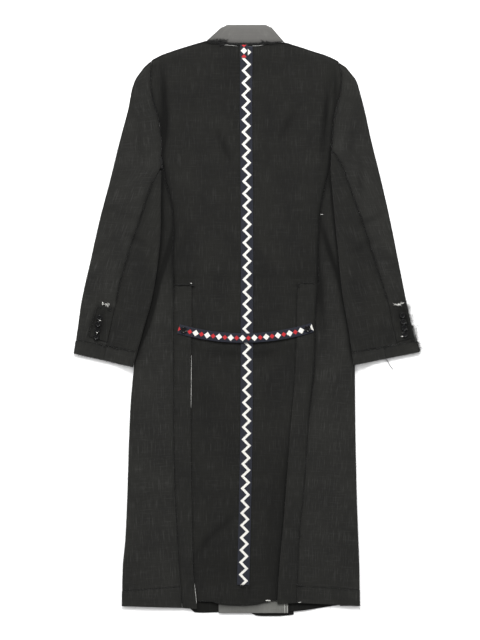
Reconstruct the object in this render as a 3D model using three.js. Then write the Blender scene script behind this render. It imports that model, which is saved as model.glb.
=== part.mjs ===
// A long tailored coat-blazer in charcoal wool, laid flat on its front with its back up.
// Millimetres. X runs to the right, Y towards the collar, Z up from the surface it lies on.
// "down" is the distance below the top edge of the collar. "left" and "right" are as seen
// from above, which are also the wearer's left and right.
import * as THREE from "three";

// Driving dimensions
const LENGTH = 1253; // top of the collar to the longest point of the front hem
const CLOTH = 2; // back, side and sleeve cloth with its lining
const FRONT_CLOTH = 1.6; // the fronts, pressed flat by what lies on them
const THIN_CLOTH = 1.5; // vent strips and plackets
const TURNED_CLOTH = 2.8; // cloth turned up and pressed at cuffs and hems
const FACING = 1.2; // grey front facing
const RIBBON = 1.2; // woven ribbon of the half belt, back tape and loop
const SEAM = 0.3; // space left between sewn pieces
const FOLD_HEIGHT = 8; // outside height of the rounded side folds
const TAPE_WIDTH = 26;
const BELT_WIDTH = 20;
const TAB_WIDTH = 16;
const TAB_LENGTH = 27;
const BELT_BUTTON = 14; // diameter
const CUFF_BUTTON = 12.5; // diameter
const BUTTON_HEIGHT = 3;

// Colours measured as plain cloth colours
const CHARCOAL = 0x2f2f2d;
const SLEEVE_CHARCOAL = 0x343432;
const GREY = 0x7a7976;
const FACING_GREY = 0x676864;
const NAVY = 0x1d2233;
const BLACK = 0x141414;

// Armhole seams, from the shoulder to the armpit
const ARMHOLE = [
  { down: 30, left: -201, right: 195 },
  { down: 76, left: -201, right: 195 },
  { down: 106, left: -203, right: 201 },
  { down: 144, left: -201, right: 198 },
  { down: 174, left: -194, right: 191 },
  { down: 201, left: -186, right: 185 },
  { down: 254, left: -180, right: 181 },
  { down: 300, left: -181, right: 180 },
];

// Outer fold of each sleeve, from the sleeve head to the cuff
const SLEEVE_EDGE = [
  { down: 76, left: -205, right: 200 },
  { down: 95, left: -221, right: 215 },
  { down: 117, left: -236, right: 232 },
  { down: 138, left: -243, right: 239 },
  { down: 180, left: -251, right: 250 },
  { down: 244, left: -268, right: 264 },
  { down: 329, left: -289, right: 285 },
  { down: 413, left: -311, right: 304 },
  { down: 498, left: -330, right: 321 },
  { down: 583, left: -349, right: 338 },
  { down: 646, left: -358, right: 352 },
  { down: 696, left: -366, right: 367 },
];

// Back seam of each sleeve, which runs from the armpit to the cuff
const ELBOW_SEAM = [
  { down: 268, left: -180, right: 181 },
  { down: 274, left: -180, right: 187 },
  { down: 284, left: -180, right: 192.5 },
  { down: 302, left: -181, right: 203 },
  { down: 320, left: -190, right: 210 },
  { down: 338, left: -200, right: 216 },
  { down: 415, left: -226, right: 244 },
  { down: 473, left: -246, right: 263 },
  { down: 551, left: -269, right: 288 },
  { down: 595, left: -277, right: 301 },
  { down: 720, left: -305, right: 327 },
];

// Inner fold of each sleeve, where it lies over the side of the body
const SLEEVE_INSIDE = [
  { down: 265, left: -179, right: 180 },
  { down: 307, left: -180, right: 178 },
  { down: 371, left: -181, right: 183 },
  { down: 464, left: -183, right: 192 },
  { down: 572, left: -198, right: 203 },
  { down: 647, left: -218, right: 216 },
  { down: 725, left: -240, right: 227 },
];

// Side fold of the body, hidden by the sleeve as far as its cuff
const BODY_EDGE = [
  { down: 254, left: -180, right: 181 },
  { down: 284, left: -185, right: 190 },
  { down: 300, left: -193, right: 197 },
  { down: 320, left: -204, right: 202 },
  { down: 350, left: -211, right: 207 },
  { down: 392, left: -213, right: 210 },
  { down: 456, left: -216, right: 213 },
  { down: 519, left: -220, right: 217 },
  { down: 583, left: -226, right: 222 },
  { down: 647, left: -231, right: 226 },
  { down: 700, left: -236, right: 229 },
  { down: 795, left: -245, right: 230 },
  { down: 880, left: -249, right: 231 },
  { down: 1007, left: -253, right: 234 },
  { down: 1092, left: -257, right: 237 },
  { down: 1145, left: -262, right: 239 },
  { down: 1232, left: -264, right: 240 },
];

// Seam between the back and each side panel
const SIDE_SEAM = [
  { down: 254, left: -180, right: 181 },
  { down: 297, left: -177, right: 178 },
  { down: 330, left: -171, right: 169 },
  { down: 388, left: -157, right: 157 },
  { down: 447, left: -155, right: 153 },
  { down: 502, left: -156, right: 152 },
  { down: 551, left: -154, right: 152 },
  { down: 600, left: -154, right: 147 },
  { down: 729, left: -154, right: 143 },
  { down: 831, left: -154, right: 132 },
  { down: 965, left: -152, right: 123 },
  { down: 1083, left: -146, right: 112 },
  { down: 1186, left: -139, right: 107 },
  { down: 1235, left: -136, right: 106 },
];

// Free edge of each vent strip
const VENT_EDGE = [
  { down: 549, left: -116, right: 109 },
  { down: 575, left: -116, right: 108 },
  { down: 697, left: -117, right: 105 },
  { down: 770, left: -118, right: 101 },
  { down: 831, left: -118, right: 95 },
  { down: 965, left: -117, right: 85 },
  { down: 1044, left: -115, right: 79 },
  { down: 1155, left: -113, right: 69 },
  { down: 1228, left: -105, right: 65 },
];

// Centre back seam, which drifts a little as the cloth lies
const CENTRE_SEAM = [
  { down: 41, x: 0 },
  { down: 180, x: -1 },
  { down: 420, x: 1 },
  { down: 840, x: 0 },
  { down: 1010, x: -3 },
  { down: 1223, x: -8 },
];

// Shoulder and neck line, by distance out from the centre
const SHOULDER_LINE = [
  { out: 0, left: 41, right: 41 },
  { out: 40, left: 39.5, right: 39.5 },
  { out: 82, left: 34.5, right: 38.3 },
  { out: 100, left: 38, right: 42.8 },
  { out: 122, left: 44.5, right: 49.7 },
  { out: 145, left: 51.5, right: 57.2 },
  { out: 165, left: 58.2, right: 63.3 },
  { out: 181, left: 64.3, right: 70 },
  { out: 192, left: 70, right: 75.8 },
  { out: 201, left: 75, right: 83.5 },
  { out: 213, left: 87, right: 95.4 },
  { out: 221, left: 95.4, right: 104 },
  { out: 236, left: 117, right: 130 },
  { out: 245, left: 150, right: 159 },
];

// Lower edges that hang unevenly
const BACK_HEM = [
  { x: -136, down: 1221 },
  { x: -104, down: 1221 },
  { x: -72, down: 1222.5 },
  { x: -56, down: 1227 },
  { x: -8, down: 1229.5 },
  { x: 20, down: 1227.5 },
  { x: 54, down: 1219.5 },
  { x: 106, down: 1220 },
];
const FRONT_HEMS = {
  left: [
    { x: -222, down: 1228 },
    { x: -123, down: 1228 },
    { x: -119, down: 1243 },
    { x: -57, down: 1245 },
    { x: 8, down: 1246 },
    { x: 20, down: 1252 },
    { x: 30, down: LENGTH },
    { x: 70, down: LENGTH },
    { x: 100, down: 1250 },
  ],
  right: [
    { x: -60, down: 1243 },
    { x: 95, down: 1243 },
    { x: 200, down: 1229 },
  ],
};

// Largest soft folds of the body: a ridge, or a trough where the rise is negative
const FOLDS = [
  { x: -48, down: 250, length: 90, width: 22, turn: 70, rise: -0.9 },
  { x: 82, down: 215, length: 75, width: 20, turn: -62, rise: 0.9 },
  { x: -150, down: 250, length: 130, width: 24, turn: 84, rise: 1.1 },
  { x: 150, down: 235, length: 130, width: 24, turn: -86, rise: 1.1 },
  { x: -60, down: 1090, length: 120, width: 30, turn: -50, rise: 1.2 },
  { x: 40, down: 1080, length: 160, width: 30, turn: 84, rise: 1 },
  { x: -195, down: 900, length: 260, width: 34, turn: 88, rise: 1.2 },
  { x: 190, down: 960, length: 220, width: 30, turn: -88, rise: 1.2 },
  { x: 80, down: 480, length: 180, width: 30, turn: 60, rise: 0.8 },
  { x: -90, down: 430, length: 160, width: 28, turn: -66, rise: 0.8 },
];

// Heights at which the pieces have a section; neighbours share them, so their seams match
const ARMHOLE_SECTIONS = [92, 110, 140, 174, 210, 250, 268, 274, 280, 292, 302];
const BODY_SECTIONS = [
  318, 336, 360, 388, 420, 470, 522, 549, 580, 640, 700, 770, 840, 905, 970, 1035, 1095, 1145, 1188,
];
const FRONT_SECTIONS = [318, 420, 520, 660, 800, 940, 1080];
const SLEEVE_SECTIONS = [320, 340, 372, 412, 455, 503, 551, 597, 642];

// Heights of the layers
const TWO_FRONTS = { left: -60, right: 100 }; // edges of the fronts where they lap over
const NECK_SIDE = 76; // half the neck opening
const SHOULDER_END = { left: 201, right: 195 }; // from the centre to the armhole seams
const BREAK_DOWN = 520; // where the fronts' overlap begins
const VENT_TOP = 549;
const HEM_DOWN = 1228; // where the lower edges' widths are taken
const SIDE_HEM = { left: { seam: 1235, fold: 1231 }, right: { seam: 1224, fold: 1231 }, back: 1221 };
const SIDE_TOP = { left: 302, right: 280 };
const UNDER_SLEEVE_TOP = { left: 310, right: 274 };
const DIPS = [
  { x: -140, width: 40, depth: 1.5 },
  { x: 172, width: 30, depth: 1.3 },
];
const VENT_RECESS = THIN_CLOTH + 2 * SEAM; // the back lies this much lower between the vents

const clamp = (value) => Math.min(Math.max(value, 0), 1);
const mix = (a, b, t) => a + (b - a) * t;

function ease(from, to, value) {
  const t = clamp((value - from) / (to - from));
  return t * t * (3 - 2 * t);
}

// Smooth curve through a column of a table, read at a value of its key column.
function read(table, column, value, key = "down") {
  const last = table.length - 1;
  const inside = Math.min(Math.max(value, table[0][key]), table[last][key]);
  let i = 0;
  while (i < last - 1 && table[i + 1][key] < inside) {
    i += 1;
  }
  const slope = (k) => {
    const a = table[Math.max(k - 1, 0)];
    const b = table[Math.min(k + 1, last)];
    return (b[column] - a[column]) / (b[key] - a[key]);
  };
  const step = table[i + 1][key] - table[i][key];
  const t = (inside - table[i][key]) / step;
  const bend = t * t * (3 - 2 * t);
  const start = t * (1 - t) * (1 - t) * step * slope(i);
  const end = t * t * (t - 1) * step * slope(i + 1);
  return mix(table[i][column], table[i + 1][column], bend) + start + end;
}

// A point on the laid garment from x, down and height.
function place(x, down, z) {
  return new THREE.Vector3(x, LENGTH / 2 - down, z);
}

const sideOf = (x) => (x < 0 ? "left" : "right");
const outwards = { left: -1, right: 1 };
const shoulderLine = (x) => read(SHOULDER_LINE, sideOf(x), Math.abs(x), "out");

// Soft folds, each a bump that dies away along and across its line.
function folds(x, down) {
  return FOLDS.reduce((sum, fold) => {
    const turn = THREE.MathUtils.degToRad(fold.turn);
    const dx = x - fold.x;
    const dy = down - fold.down;
    const along = (dx * Math.cos(turn) + dy * Math.sin(turn)) / (fold.length / 2);
    const across = (dy * Math.cos(turn) - dx * Math.sin(turn)) / fold.width;
    return sum + fold.rise * Math.exp(-along * along - across * across);
  }, 0);
}

// Height of the body's outer cloth above the surface.
function bodyTop(x, down) {
  const dips = DIPS.reduce((sum, dip) => {
    const t = (x - dip.x) / dip.width;
    return sum + dip.depth * Math.exp(-t * t);
  }, 0);
  const facingZone = ease(TWO_FRONTS.left - 40, TWO_FRONTS.left - 5, x) * (1 - ease(110, 150, x));
  const hem = 1.4 * ease(1060, 1130, down) * facingZone;
  const rim = (1 - ease(0, 14, down - shoulderLine(x))) * ease(82, 100, Math.abs(x));
  const height = FOLD_HEIGHT - dips * ease(60, 200, down) + hem + folds(x, down);
  return mix(height, Math.min(height, CLOTH + 2.3), rim);
}

// The back between the vents lies lower than the strips that cover its edges.
function backTop(x, down) {
  return bodyTop(x, down) - VENT_RECESS * ease(VENT_TOP - 30, VENT_TOP - 7, down);
}

// How far a point lies inside the body's side fold; outside it the value is negative.
function insideBody(x, down) {
  const side = sideOf(x);
  return (read(BODY_EDGE, side, down) - x) * outwards[side];
}

// The sleeve's lower cloth lies on the surface and rides up over the body's side.
const ARMPIT = { left: 318, right: 292 };
function sleeveRamp(side, down) {
  return mix(9, 28, ease(ARMPIT[side], ARMPIT[side] + 70, down));
}

function sleeveBottom(x, down) {
  const side = sideOf(x);
  const ramp = sleeveRamp(side, down);
  const under = ease(ARMPIT[side] - 26, ARMPIT[side] - 14, down);
  const over = under * ease(-ramp, 0, insideBody(x, down));
  return over * (Math.max(bodyTop(x, down), FOLD_HEIGHT) + 0.6);
}

// The sleeve's upper cloth is flush with the back at the armhole and rises below it.
function sleeveTop(x, down) {
  const side = sideOf(x);
  const rise = 5.6 * ease(ARMPIT[side] - 50, ARMPIT[side] - 6, down);
  const more = 3 * ease(ARMPIT[side], ARMPIT[side] + 110, down);
  const over = ease(-48, 2, insideBody(x, down));
  const rim = 1 - ease(0, 14, down - shoulderLine(x));
  const elbow = 0.9 * Math.exp(-(((down - 470) / 60) ** 2));
  const crest = elbow + 0.7 * Math.exp(-(((down - 360) / 30) ** 2));
  const height = FOLD_HEIGHT + (rise + more) * over + crest;
  return mix(height, CLOTH + 2.3, rim);
}

// Closed wall
function wall(name, outer, inner, color, closedAcross = false, roughness = 0.92) {
  const rows = outer.length;
  const columns = outer[0].length;
  const positions = [];
  const indices = [];
  [outer, inner].flat(2).forEach((p) => positions.push(p.x, p.y, p.z));
  const id = (skin, i, j) => skin * rows * columns + i * columns + (j % columns);
  const quad = (a, b, c, d) => indices.push(a, b, c, a, c, d);
  const lastColumn = closedAcross ? columns : columns - 1;
  for (let i = 0; i < rows - 1; i += 1) {
    for (let j = 0; j < lastColumn; j += 1) {
      quad(id(0, i, j), id(0, i + 1, j), id(0, i + 1, j + 1), id(0, i, j + 1));
      quad(id(1, i, j), id(1, i, j + 1), id(1, i + 1, j + 1), id(1, i + 1, j));
    }
    if (!closedAcross) {
      const end = columns - 1;
      quad(id(0, i, 0), id(1, i, 0), id(1, i + 1, 0), id(0, i + 1, 0));
      quad(id(0, i, end), id(0, i + 1, end), id(1, i + 1, end), id(1, i, end));
    }
  }
  for (let j = 0; j < lastColumn; j += 1) {
    quad(id(0, 0, j), id(0, 0, j + 1), id(1, 0, j + 1), id(1, 0, j));
    quad(id(0, rows - 1, j), id(1, rows - 1, j), id(1, rows - 1, j + 1), id(0, rows - 1, j + 1));
  }
  if (signedVolume(positions, indices) < 0) {
    indices.reverse();
  }
  const geometry = new THREE.BufferGeometry();
  geometry.setAttribute("position", new THREE.Float32BufferAttribute(positions, 3));
  geometry.setIndex(indices);
  const material = new THREE.MeshStandardMaterial({ color, roughness, metalness: 0 });
  const mesh = new THREE.Mesh(geometry, material);
  mesh.name = name;
  return mesh;
}

function signedVolume(positions, indices) {
  const corner = (k) => new THREE.Vector3().fromArray(positions, indices[k] * 3);
  let volume = 0;
  for (let k = 0; k < indices.length; k += 3) {
    volume += corner(k).dot(corner(k + 1).cross(corner(k + 2))) / 6;
  }
  return volume;
}

// A panel between two edges: each column runs from its top to its bottom, and a point's x is
// shared out between the left and right edges at its own height.
function panel({ name, left, right, top, bottom, height, thick, color, shares, columns, roughness }) {
  const outer = [];
  const inner = [];
  shares.forEach((share) => {
    const outerRow = [];
    const innerRow = [];
    columns.forEach((across) => {
      const down = mix(top(across), bottom(across), share);
      const x = mix(left(down), right(down), across);
      const z = height(x, down);
      outerRow.push(place(x, down, z));
      innerRow.push(place(x, down, z - thick));
    });
    outer.push(outerRow);
    inner.push(innerRow);
  });
  return wall(name, outer, inner, color, false, roughness);
}

// Shares of the way from one height to another, evenly or at the heights of a list.
const evenly = (count) => Array.from({ length: count + 1 }, (_, i) => i / count);

function sharesAt(heights, from, to) {
  const inside = heights.filter((down) => down > from + 3 && down < to - 3);
  return [0, ...inside.map((down) => (down - from) / (to - from)), 1];
}

// Lower edge of a panel, read from a table at the x that a column has there.
function hemOf(table, left, right) {
  return (across) => {
    const x = mix(left(HEM_DOWN), right(HEM_DOWN), across);
    return Math.min(read(table, "down", x, "x"), LENGTH);
  };
}

// Section of folded cloth: along the top from a seam, round the fold, back along the underside.
function foldedSection({ seam, fold, end, top, bottom, thick, steps }) {
  const outer = [];
  const inner = [];
  const reach = Math.hypot(fold.x - seam.x, fold.down - seam.down);
  const dir = { x: (fold.x - seam.x) / reach, down: (fold.down - seam.down) / reach };
  const guess = FOLD_HEIGHT / 2;
  const near = { x: fold.x - dir.x * guess, down: fold.down - dir.down * guess };
  const high = top(near.x, near.down);
  const low = bottom(near.x, near.down);
  const radius = (high - low) / 2;
  const turn = { x: fold.x - dir.x * radius, down: fold.down - dir.down * radius };
  for (let j = 0; j < steps.top; j += 1) {
    const t = j / steps.top;
    const x = mix(seam.x, turn.x, t);
    const down = mix(seam.down, turn.down, t);
    const z = mix(top(x, down), high, ease(0.6, 1, t));
    outer.push(place(x, down, z));
    inner.push(place(x, down, z - thick));
  }
  for (let j = 0; j <= steps.fold; j += 1) {
    const angle = (Math.PI * j) / steps.fold;
    const out = Math.sin(angle);
    const up = Math.cos(angle);
    const middle = low + radius;
    const small = radius - thick;
    const ring = (r) =>
      place(turn.x + dir.x * out * r, turn.down + dir.down * out * r, middle + up * r);
    outer.push(ring(radius));
    inner.push(ring(small));
  }
  for (let j = 1; j <= steps.under; j += 1) {
    const t = j / steps.under;
    const x = mix(turn.x, end.x, t);
    const down = mix(turn.down, end.down, t);
    const z = mix(low, bottom(x, down), ease(0, 0.4, t));
    outer.push(place(x, down, z));
    inner.push(place(x, down, z + thick));
  }
  return { outer, inner };
}

function folded({ name, shares, seam, fold, end, top, bottom, thick, steps, color }) {
  const sections = shares.map((t) =>
    foldedSection({ seam: seam(t), fold: fold(t), end: end(t), top, bottom, thick, steps }),
  );
  return wall(name, sections.map((s) => s.outer), sections.map((s) => s.inner), color);
}

// A point on a table's curve, at a share of the way between two heights.
function along(table, column, from, to, inset = 0) {
  return (t) => {
    const down = mix(from, to, t);
    return { x: read(table, column, down) - inset * outwards[column], down };
  };
}

// Back panels: shoulder and neck at the top, armhole and side seam at the outside.
function backOutside(side) {
  return (down) => {
    const armhole = read(ARMHOLE, side, down);
    const seam = read(SIDE_SEAM, side, down);
    const x = mix(armhole, seam, ease(SIDE_TOP[side] - 12, SIDE_TOP[side], down));
    return x - (outwards[side] * SEAM) / 2;
  };
}

const centre = (down) => read(CENTRE_SEAM, "x", down);

function backPanel(side) {
  const outside = backOutside(side);
  const middle = (down) => centre(down) + (outwards[side] * SEAM) / 2;
  const shoulder = (out) => read(SHOULDER_LINE, side, out * SHOULDER_END[side], "out");
  const line = (across) => shoulder(side === "left" ? 1 - across : across);
  const [left, right] = side === "left" ? [outside, middle] : [middle, outside];
  return panel({
    name: `back_${side}`,
    left,
    right,
    top: line,
    bottom: hemOf(BACK_HEM, left, right),
    height: backTop,
    thick: CLOTH,
    color: CHARCOAL,
    shares: sharesAt([...ARMHOLE_SECTIONS, ...BODY_SECTIONS], shoulder(1), SIDE_HEM.back),
    columns: evenly(8),
  });
}

// Side panels wrap round the side fold to a seam on the front.
const FRONT_SEAM_INSET = 42;
const HEM_LINE = { left: 1190, right: 1188 };

function sideSeamPoint(side, from, to) {
  return along(SIDE_SEAM, side, from, to, -SEAM);
}

function sidePanel(side) {
  const end = HEM_LINE[side];
  return folded({
    name: `side_${side}`,
    shares: sharesAt([...ARMHOLE_SECTIONS, ...BODY_SECTIONS], SIDE_TOP[side], end - SEAM),
    seam: sideSeamPoint(side, SIDE_TOP[side], end - SEAM),
    fold: along(BODY_EDGE, side, SIDE_TOP[side], end + 9 - SEAM),
    end: along(BODY_EDGE, side, SIDE_TOP[side], end + 9 - SEAM, FRONT_SEAM_INSET - SEAM),
    top: bodyTop,
    bottom: () => 0,
    thick: CLOTH,
    steps: { top: 4, fold: 4, under: 1 },
    color: CHARCOAL,
  });
}

function hemBand(side) {
  const from = HEM_LINE[side];
  const { seam, fold } = SIDE_HEM[side];
  return folded({
    name: `hem_${side}`,
    shares: evenly(2),
    seam: sideSeamPoint(side, from, seam),
    fold: along(BODY_EDGE, side, from + 9, fold, -0.4),
    end: along(BODY_EDGE, side, from + 9, fold, FRONT_SEAM_INSET - SEAM),
    top: (x, down) => bodyTop(x, down) + 0.8,
    bottom: () => 0,
    thick: TURNED_CLOTH,
    steps: { top: 4, fold: 4, under: 1 },
    color: CHARCOAL,
  });
}

// Vent strips lie on the back's edges, from the top of the vents to the hem.
function ventStrip(side) {
  const outside = (down) => read(SIDE_SEAM, side, down) - (outwards[side] * SEAM) / 2;
  const free = (down) => read(VENT_EDGE, side, down);
  const hem = SIDE_HEM[side].seam;
  const slant = 2.5 * (side === "left" ? 1 : -1);
  return panel({
    name: `vent_${side}`,
    left: side === "left" ? outside : free,
    right: side === "left" ? free : outside,
    top: () => VENT_TOP,
    bottom: (across) => hem + (side === "left" ? across : across - 1) * slant,
    height: bodyTop,
    thick: THIN_CLOTH,
    color: CHARCOAL,
    shares: sharesAt(BODY_SECTIONS, VENT_TOP, hem),
    columns: evenly(2),
  });
}

// Sleeves
const CUFF_LINE = {
  left: { outer: 668, elbow: 680, inner: 693 },
  right: { outer: 671, elbow: 677.2, inner: 694 },
};
const CUFF_END = { left: { outer: 696, inner: 725 }, right: { outer: 693, inner: 721 } };
const SLEEVE_HEAD = { left: 76, right: 80 }; // where the sleeves join the shoulder seams
const SEAM_EASE = 0.5; // extra room at the sleeves' curved seams

function topSleeve(side) {
  const line = CUFF_LINE[side];
  const to = line.elbow - SEAM;
  const head = SLEEVE_HEAD[side];
  const heights = [...ARMHOLE_SECTIONS, ...SLEEVE_SECTIONS];
  const underEdge = (down) => {
    const joined = 1 - ease(ARMPIT[side] - 40, ARMPIT[side] - 20, down);
    const ramp = sleeveRamp(side, down) + SEAM_EASE;
    const edge = read(BODY_EDGE, side, down) + outwards[side] * ramp;
    return mix(edge, read(ARMHOLE, side, down), joined) + outwards[side] * SEAM;
  };
  const seamEdge = (down) => {
    const split = ease(ARMPIT[side] - 26, ARMPIT[side] - 22, down);
    return mix(read(ARMHOLE, side, down), read(ELBOW_SEAM, side, down), split);
  };
  return folded({
    name: `sleeve_top_${side}`,
    shares: sharesAt(heights, head, to),
    seam: (t) => {
      const down = mix(head, to, t);
      return { x: seamEdge(down) + outwards[side] * SEAM, down };
    },
    fold: along(SLEEVE_EDGE, side, 90, line.outer - SEAM),
    end: (t) => {
      const down = mix(head, to, t) + (line.inner - 8 - to) * t * t;
      return { x: underEdge(down), down };
    },
    top: sleeveTop,
    bottom: sleeveBottom,
    thick: CLOTH,
    steps: { top: 5, fold: 4, under: 3 },
    color: SLEEVE_CHARCOAL,
  });
}

function underSleeve(side) {
  const line = CUFF_LINE[side];
  const start = UNDER_SLEEVE_TOP[side];
  const to = line.elbow - SEAM;
  return folded({
    name: `sleeve_under_${side}`,
    shares: sharesAt([...ARMHOLE_SECTIONS, ...SLEEVE_SECTIONS], start, to),
    seam: along(ELBOW_SEAM, side, start, to, SEAM / 2),
    fold: along(SLEEVE_INSIDE, side, start, line.inner - SEAM),
    end: (t) => {
      const down = mix(start, to, t) + (line.inner - 8 - to) * t * t;
      return { x: read(BODY_EDGE, side, down) + outwards[side] * sleeveRamp(side, down), down };
    },
    top: sleeveTop,
    bottom: sleeveBottom,
    thick: CLOTH,
    steps: { top: 3, fold: 4, under: 4 },
    color: SLEEVE_CHARCOAL,
  });
}

// Turned-up cuff: a flattened ring round the end of the sleeve.
function cuff(side) {
  const line = CUFF_LINE[side];
  const outer = [];
  const inner = [];
  const top = (x, down) => sleeveTop(x, down) + 0.8;
  for (let i = 0; i <= 2; i += 1) {
    const t = i / 2;
    const outerDown = mix(line.outer, CUFF_END[side].outer, t);
    const innerDown = mix(line.inner, CUFF_END[side].inner, t);
    const fold = { x: read(SLEEVE_EDGE, side, outerDown) + outwards[side] * 0.4, down: outerDown };
    const inside = { x: read(SLEEVE_INSIDE, side, innerDown) - outwards[side] * 0.4, down: innerDown };
    const middle = { x: mix(fold.x, inside.x, 0.5), down: mix(fold.down, inside.down, 0.5) };
    const steps = { top: 3, fold: 4, under: 3 };
    const ends = { seam: middle, end: middle };
    const shared = { ...ends, top, bottom: sleeveBottom, thick: TURNED_CLOTH, steps };
    const half = foldedSection({ ...shared, fold });
    const other = foldedSection({ ...shared, fold: inside });
    const skip = (list) => list.slice(1, -1).reverse();
    outer.push([...half.outer, ...skip(other.outer)]);
    inner.push([...half.inner, ...skip(other.inner)]);
  }
  return wall(`cuff_${side}`, outer, inner, SLEEVE_CHARCOAL, true);
}

// Collar: up from the neck seam, over at the top and back beneath.
const COLLAR_TOP = { left: -52, right: 52 };
const COLLAR_FOOT = { left: -84, right: 80 };
function collar() {
  const foot = (t) => {
    const x = mix(COLLAR_FOOT.left, COLLAR_FOOT.right, t);
    return { x, down: shoulderLine(x) - 2 * SEAM };
  };
  const crown = (t) => {
    const corner = Math.abs(2 * t - 1);
    return { x: mix(COLLAR_TOP.left, COLLAR_TOP.right, t), down: 5 * ease(0.75, 1, corner) };
  };
  const leaf = (t) => {
    const x = mix(COLLAR_FOOT.left, COLLAR_FOOT.right, t);
    return { x: x * 0.9, down: 34 };
  };
  return folded({
    name: "collar",
    shares: evenly(12),
    seam: foot,
    fold: crown,
    end: leaf,
    top: (x, down) => bodyTop(x, Math.max(down, 42)) - 0.8 * ease(60, 84, Math.abs(x)),
    bottom: () => 0,
    thick: CLOTH,
    steps: { top: 3, fold: 4, under: 2 },
    color: GREY,
  });
}

// Fronts, pressed flat under the back; the right one laps over the left one.
function frontOutside(side) {
  return (down) => {
    const armhole = read(ARMHOLE, side, down);
    const seam = read(BODY_EDGE, side, down) - outwards[side] * FRONT_SEAM_INSET;
    const joined = ease(SIDE_TOP[side] - 22, SIDE_TOP[side] - 4, down);
    return mix(armhole, seam, joined) - outwards[side] * 2 * SEAM;
  };
}

function rollLine(side) {
  const edge = side === "left" ? TWO_FRONTS.right : TWO_FRONTS.left;
  return (down) => mix(outwards[side] * NECK_SIDE, edge, clamp((down - 46) / (BREAK_DOWN - 46)));
}

// The left front's columns stand close at the corners of its hem
const LEFT_FRONT_COLUMNS = [0, 0.15, 0.3, 0.308, 0.32, 0.41, 0.51, 0.61, 0.71, 0.75, 0.78, 0.87, 1];

function frontPanel(side) {
  const outside = frontOutside(side);
  const inside = rollLine(side);
  const [left, right] = side === "left" ? [outside, inside] : [inside, outside];
  const line = (across) => {
    const out = side === "left" ? 1 - across : across;
    return read(SHOULDER_LINE, side, mix(84, SHOULDER_END[side], out), "out") + 2;
  };
  const lap = (x, down) => {
    const edge = rollLine("left")(down);
    return (FRONT_CLOTH + SEAM) * (1 - ease(edge + 22, edge + 52, x));
  };
  return panel({
    name: `front_${side}`,
    left,
    right,
    top: line,
    bottom: hemOf(FRONT_HEMS[side], left, right),
    height: (x, down) => FRONT_CLOTH + (side === "right" ? lap(x, down) : 0),
    thick: FRONT_CLOTH,
    color: CHARCOAL,
    shares: sharesAt([...ARMHOLE_SECTIONS, ...FRONT_SECTIONS], 80, HEM_DOWN),
    columns: side === "left" ? LEFT_FRONT_COLUMNS : evenly(12),
  });
}

function frontFacing() {
  return panel({
    name: "front_facing",
    left: () => TWO_FRONTS.left + 1,
    right: () => 88,
    top: () => 1150,
    bottom: () => 1246,
    height: () => 2 * FRONT_CLOTH + 2 * SEAM + FACING,
    thick: FACING,
    color: FACING_GREY,
    shares: evenly(2),
    columns: evenly(4),
  });
}

// Ribbons
const RIBBON_EASE = 0.25; // a ribbon bridges small hollows in the cloth below
function tapeBase(down) {
  const recess = VENT_RECESS * ease(VENT_TOP - 19, VENT_TOP + 41, down);
  return bodyTop(centre(down), down) - recess + SEAM + RIBBON_EASE;
}

function backTape() {
  return panel({
    name: "back_tape",
    left: (down) => centre(down) - TAPE_WIDTH / 2,
    right: (down) => centre(down) + TAPE_WIDTH / 2,
    top: () => 46,
    bottom: () => 1186,
    height: (x, down) => tapeBase(down) + RIBBON,
    thick: RIBBON,
    color: NAVY,
    shares: sharesAt([110, 210, 300, 420, ...BODY_SECTIONS.filter((d) => d > 500)], 46, 1186),
    columns: evenly(1),
    roughness: 0.7,
  });
}

function neckTab() {
  const middle = -5.5;
  return panel({
    name: "neck_tab",
    left: () => middle - TAB_WIDTH / 2,
    right: () => middle + TAB_WIDTH / 2,
    top: () => 44,
    bottom: () => 44 + TAB_LENGTH,
    height: () => tapeBase(58) + SEAM + 2 * RIBBON,
    thick: RIBBON,
    color: NAVY,
    shares: evenly(2),
    columns: evenly(2),
    roughness: 0.7,
  });
}

const BELT_ENDS = { left: -144, right: 140 };
const BELT_HANG = 21; // the half belt's middle lies this much lower than its ends
function beltLine(x) {
  const t = (x - BELT_ENDS.left) / (BELT_ENDS.right - BELT_ENDS.left);
  return mix(634, 631, t) + BELT_HANG * 4 * t * (1 - t);
}

function beltTop(x) {
  const t = (x - BELT_ENDS.left) / (BELT_ENDS.right - BELT_ENDS.left);
  const bow = 1.6 * Math.sin(Math.PI * t);
  return bodyTop(x, beltLine(x) + BELT_WIDTH / 2) + SEAM + 0.4 + bow + RIBBON;
}

function halfBelt() {
  const rows = [];
  const under = [];
  const count = 26;
  for (let i = 0; i <= count; i += 1) {
    const x = mix(BELT_ENDS.left, BELT_ENDS.right, i / count);
    const slope = (beltLine(x + 1) - beltLine(x - 1)) / 2;
    const lean = slope / Math.hypot(1, slope);
    const row = [0, 0.5, 1].map((t) => {
      const offset = t * BELT_WIDTH;
      const down = beltLine(x) + offset * Math.sqrt(1 - lean * lean);
      return { x: x - lean * (offset - BELT_WIDTH / 2), down };
    });
    rows.push(row.map((p) => place(p.x, p.down, beltTop(x))));
    under.push(row.map((p) => place(p.x, p.down, beltTop(x) - RIBBON)));
  }
  return wall("half_belt", rows, under, NAVY, false, 0.7);
}

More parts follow.
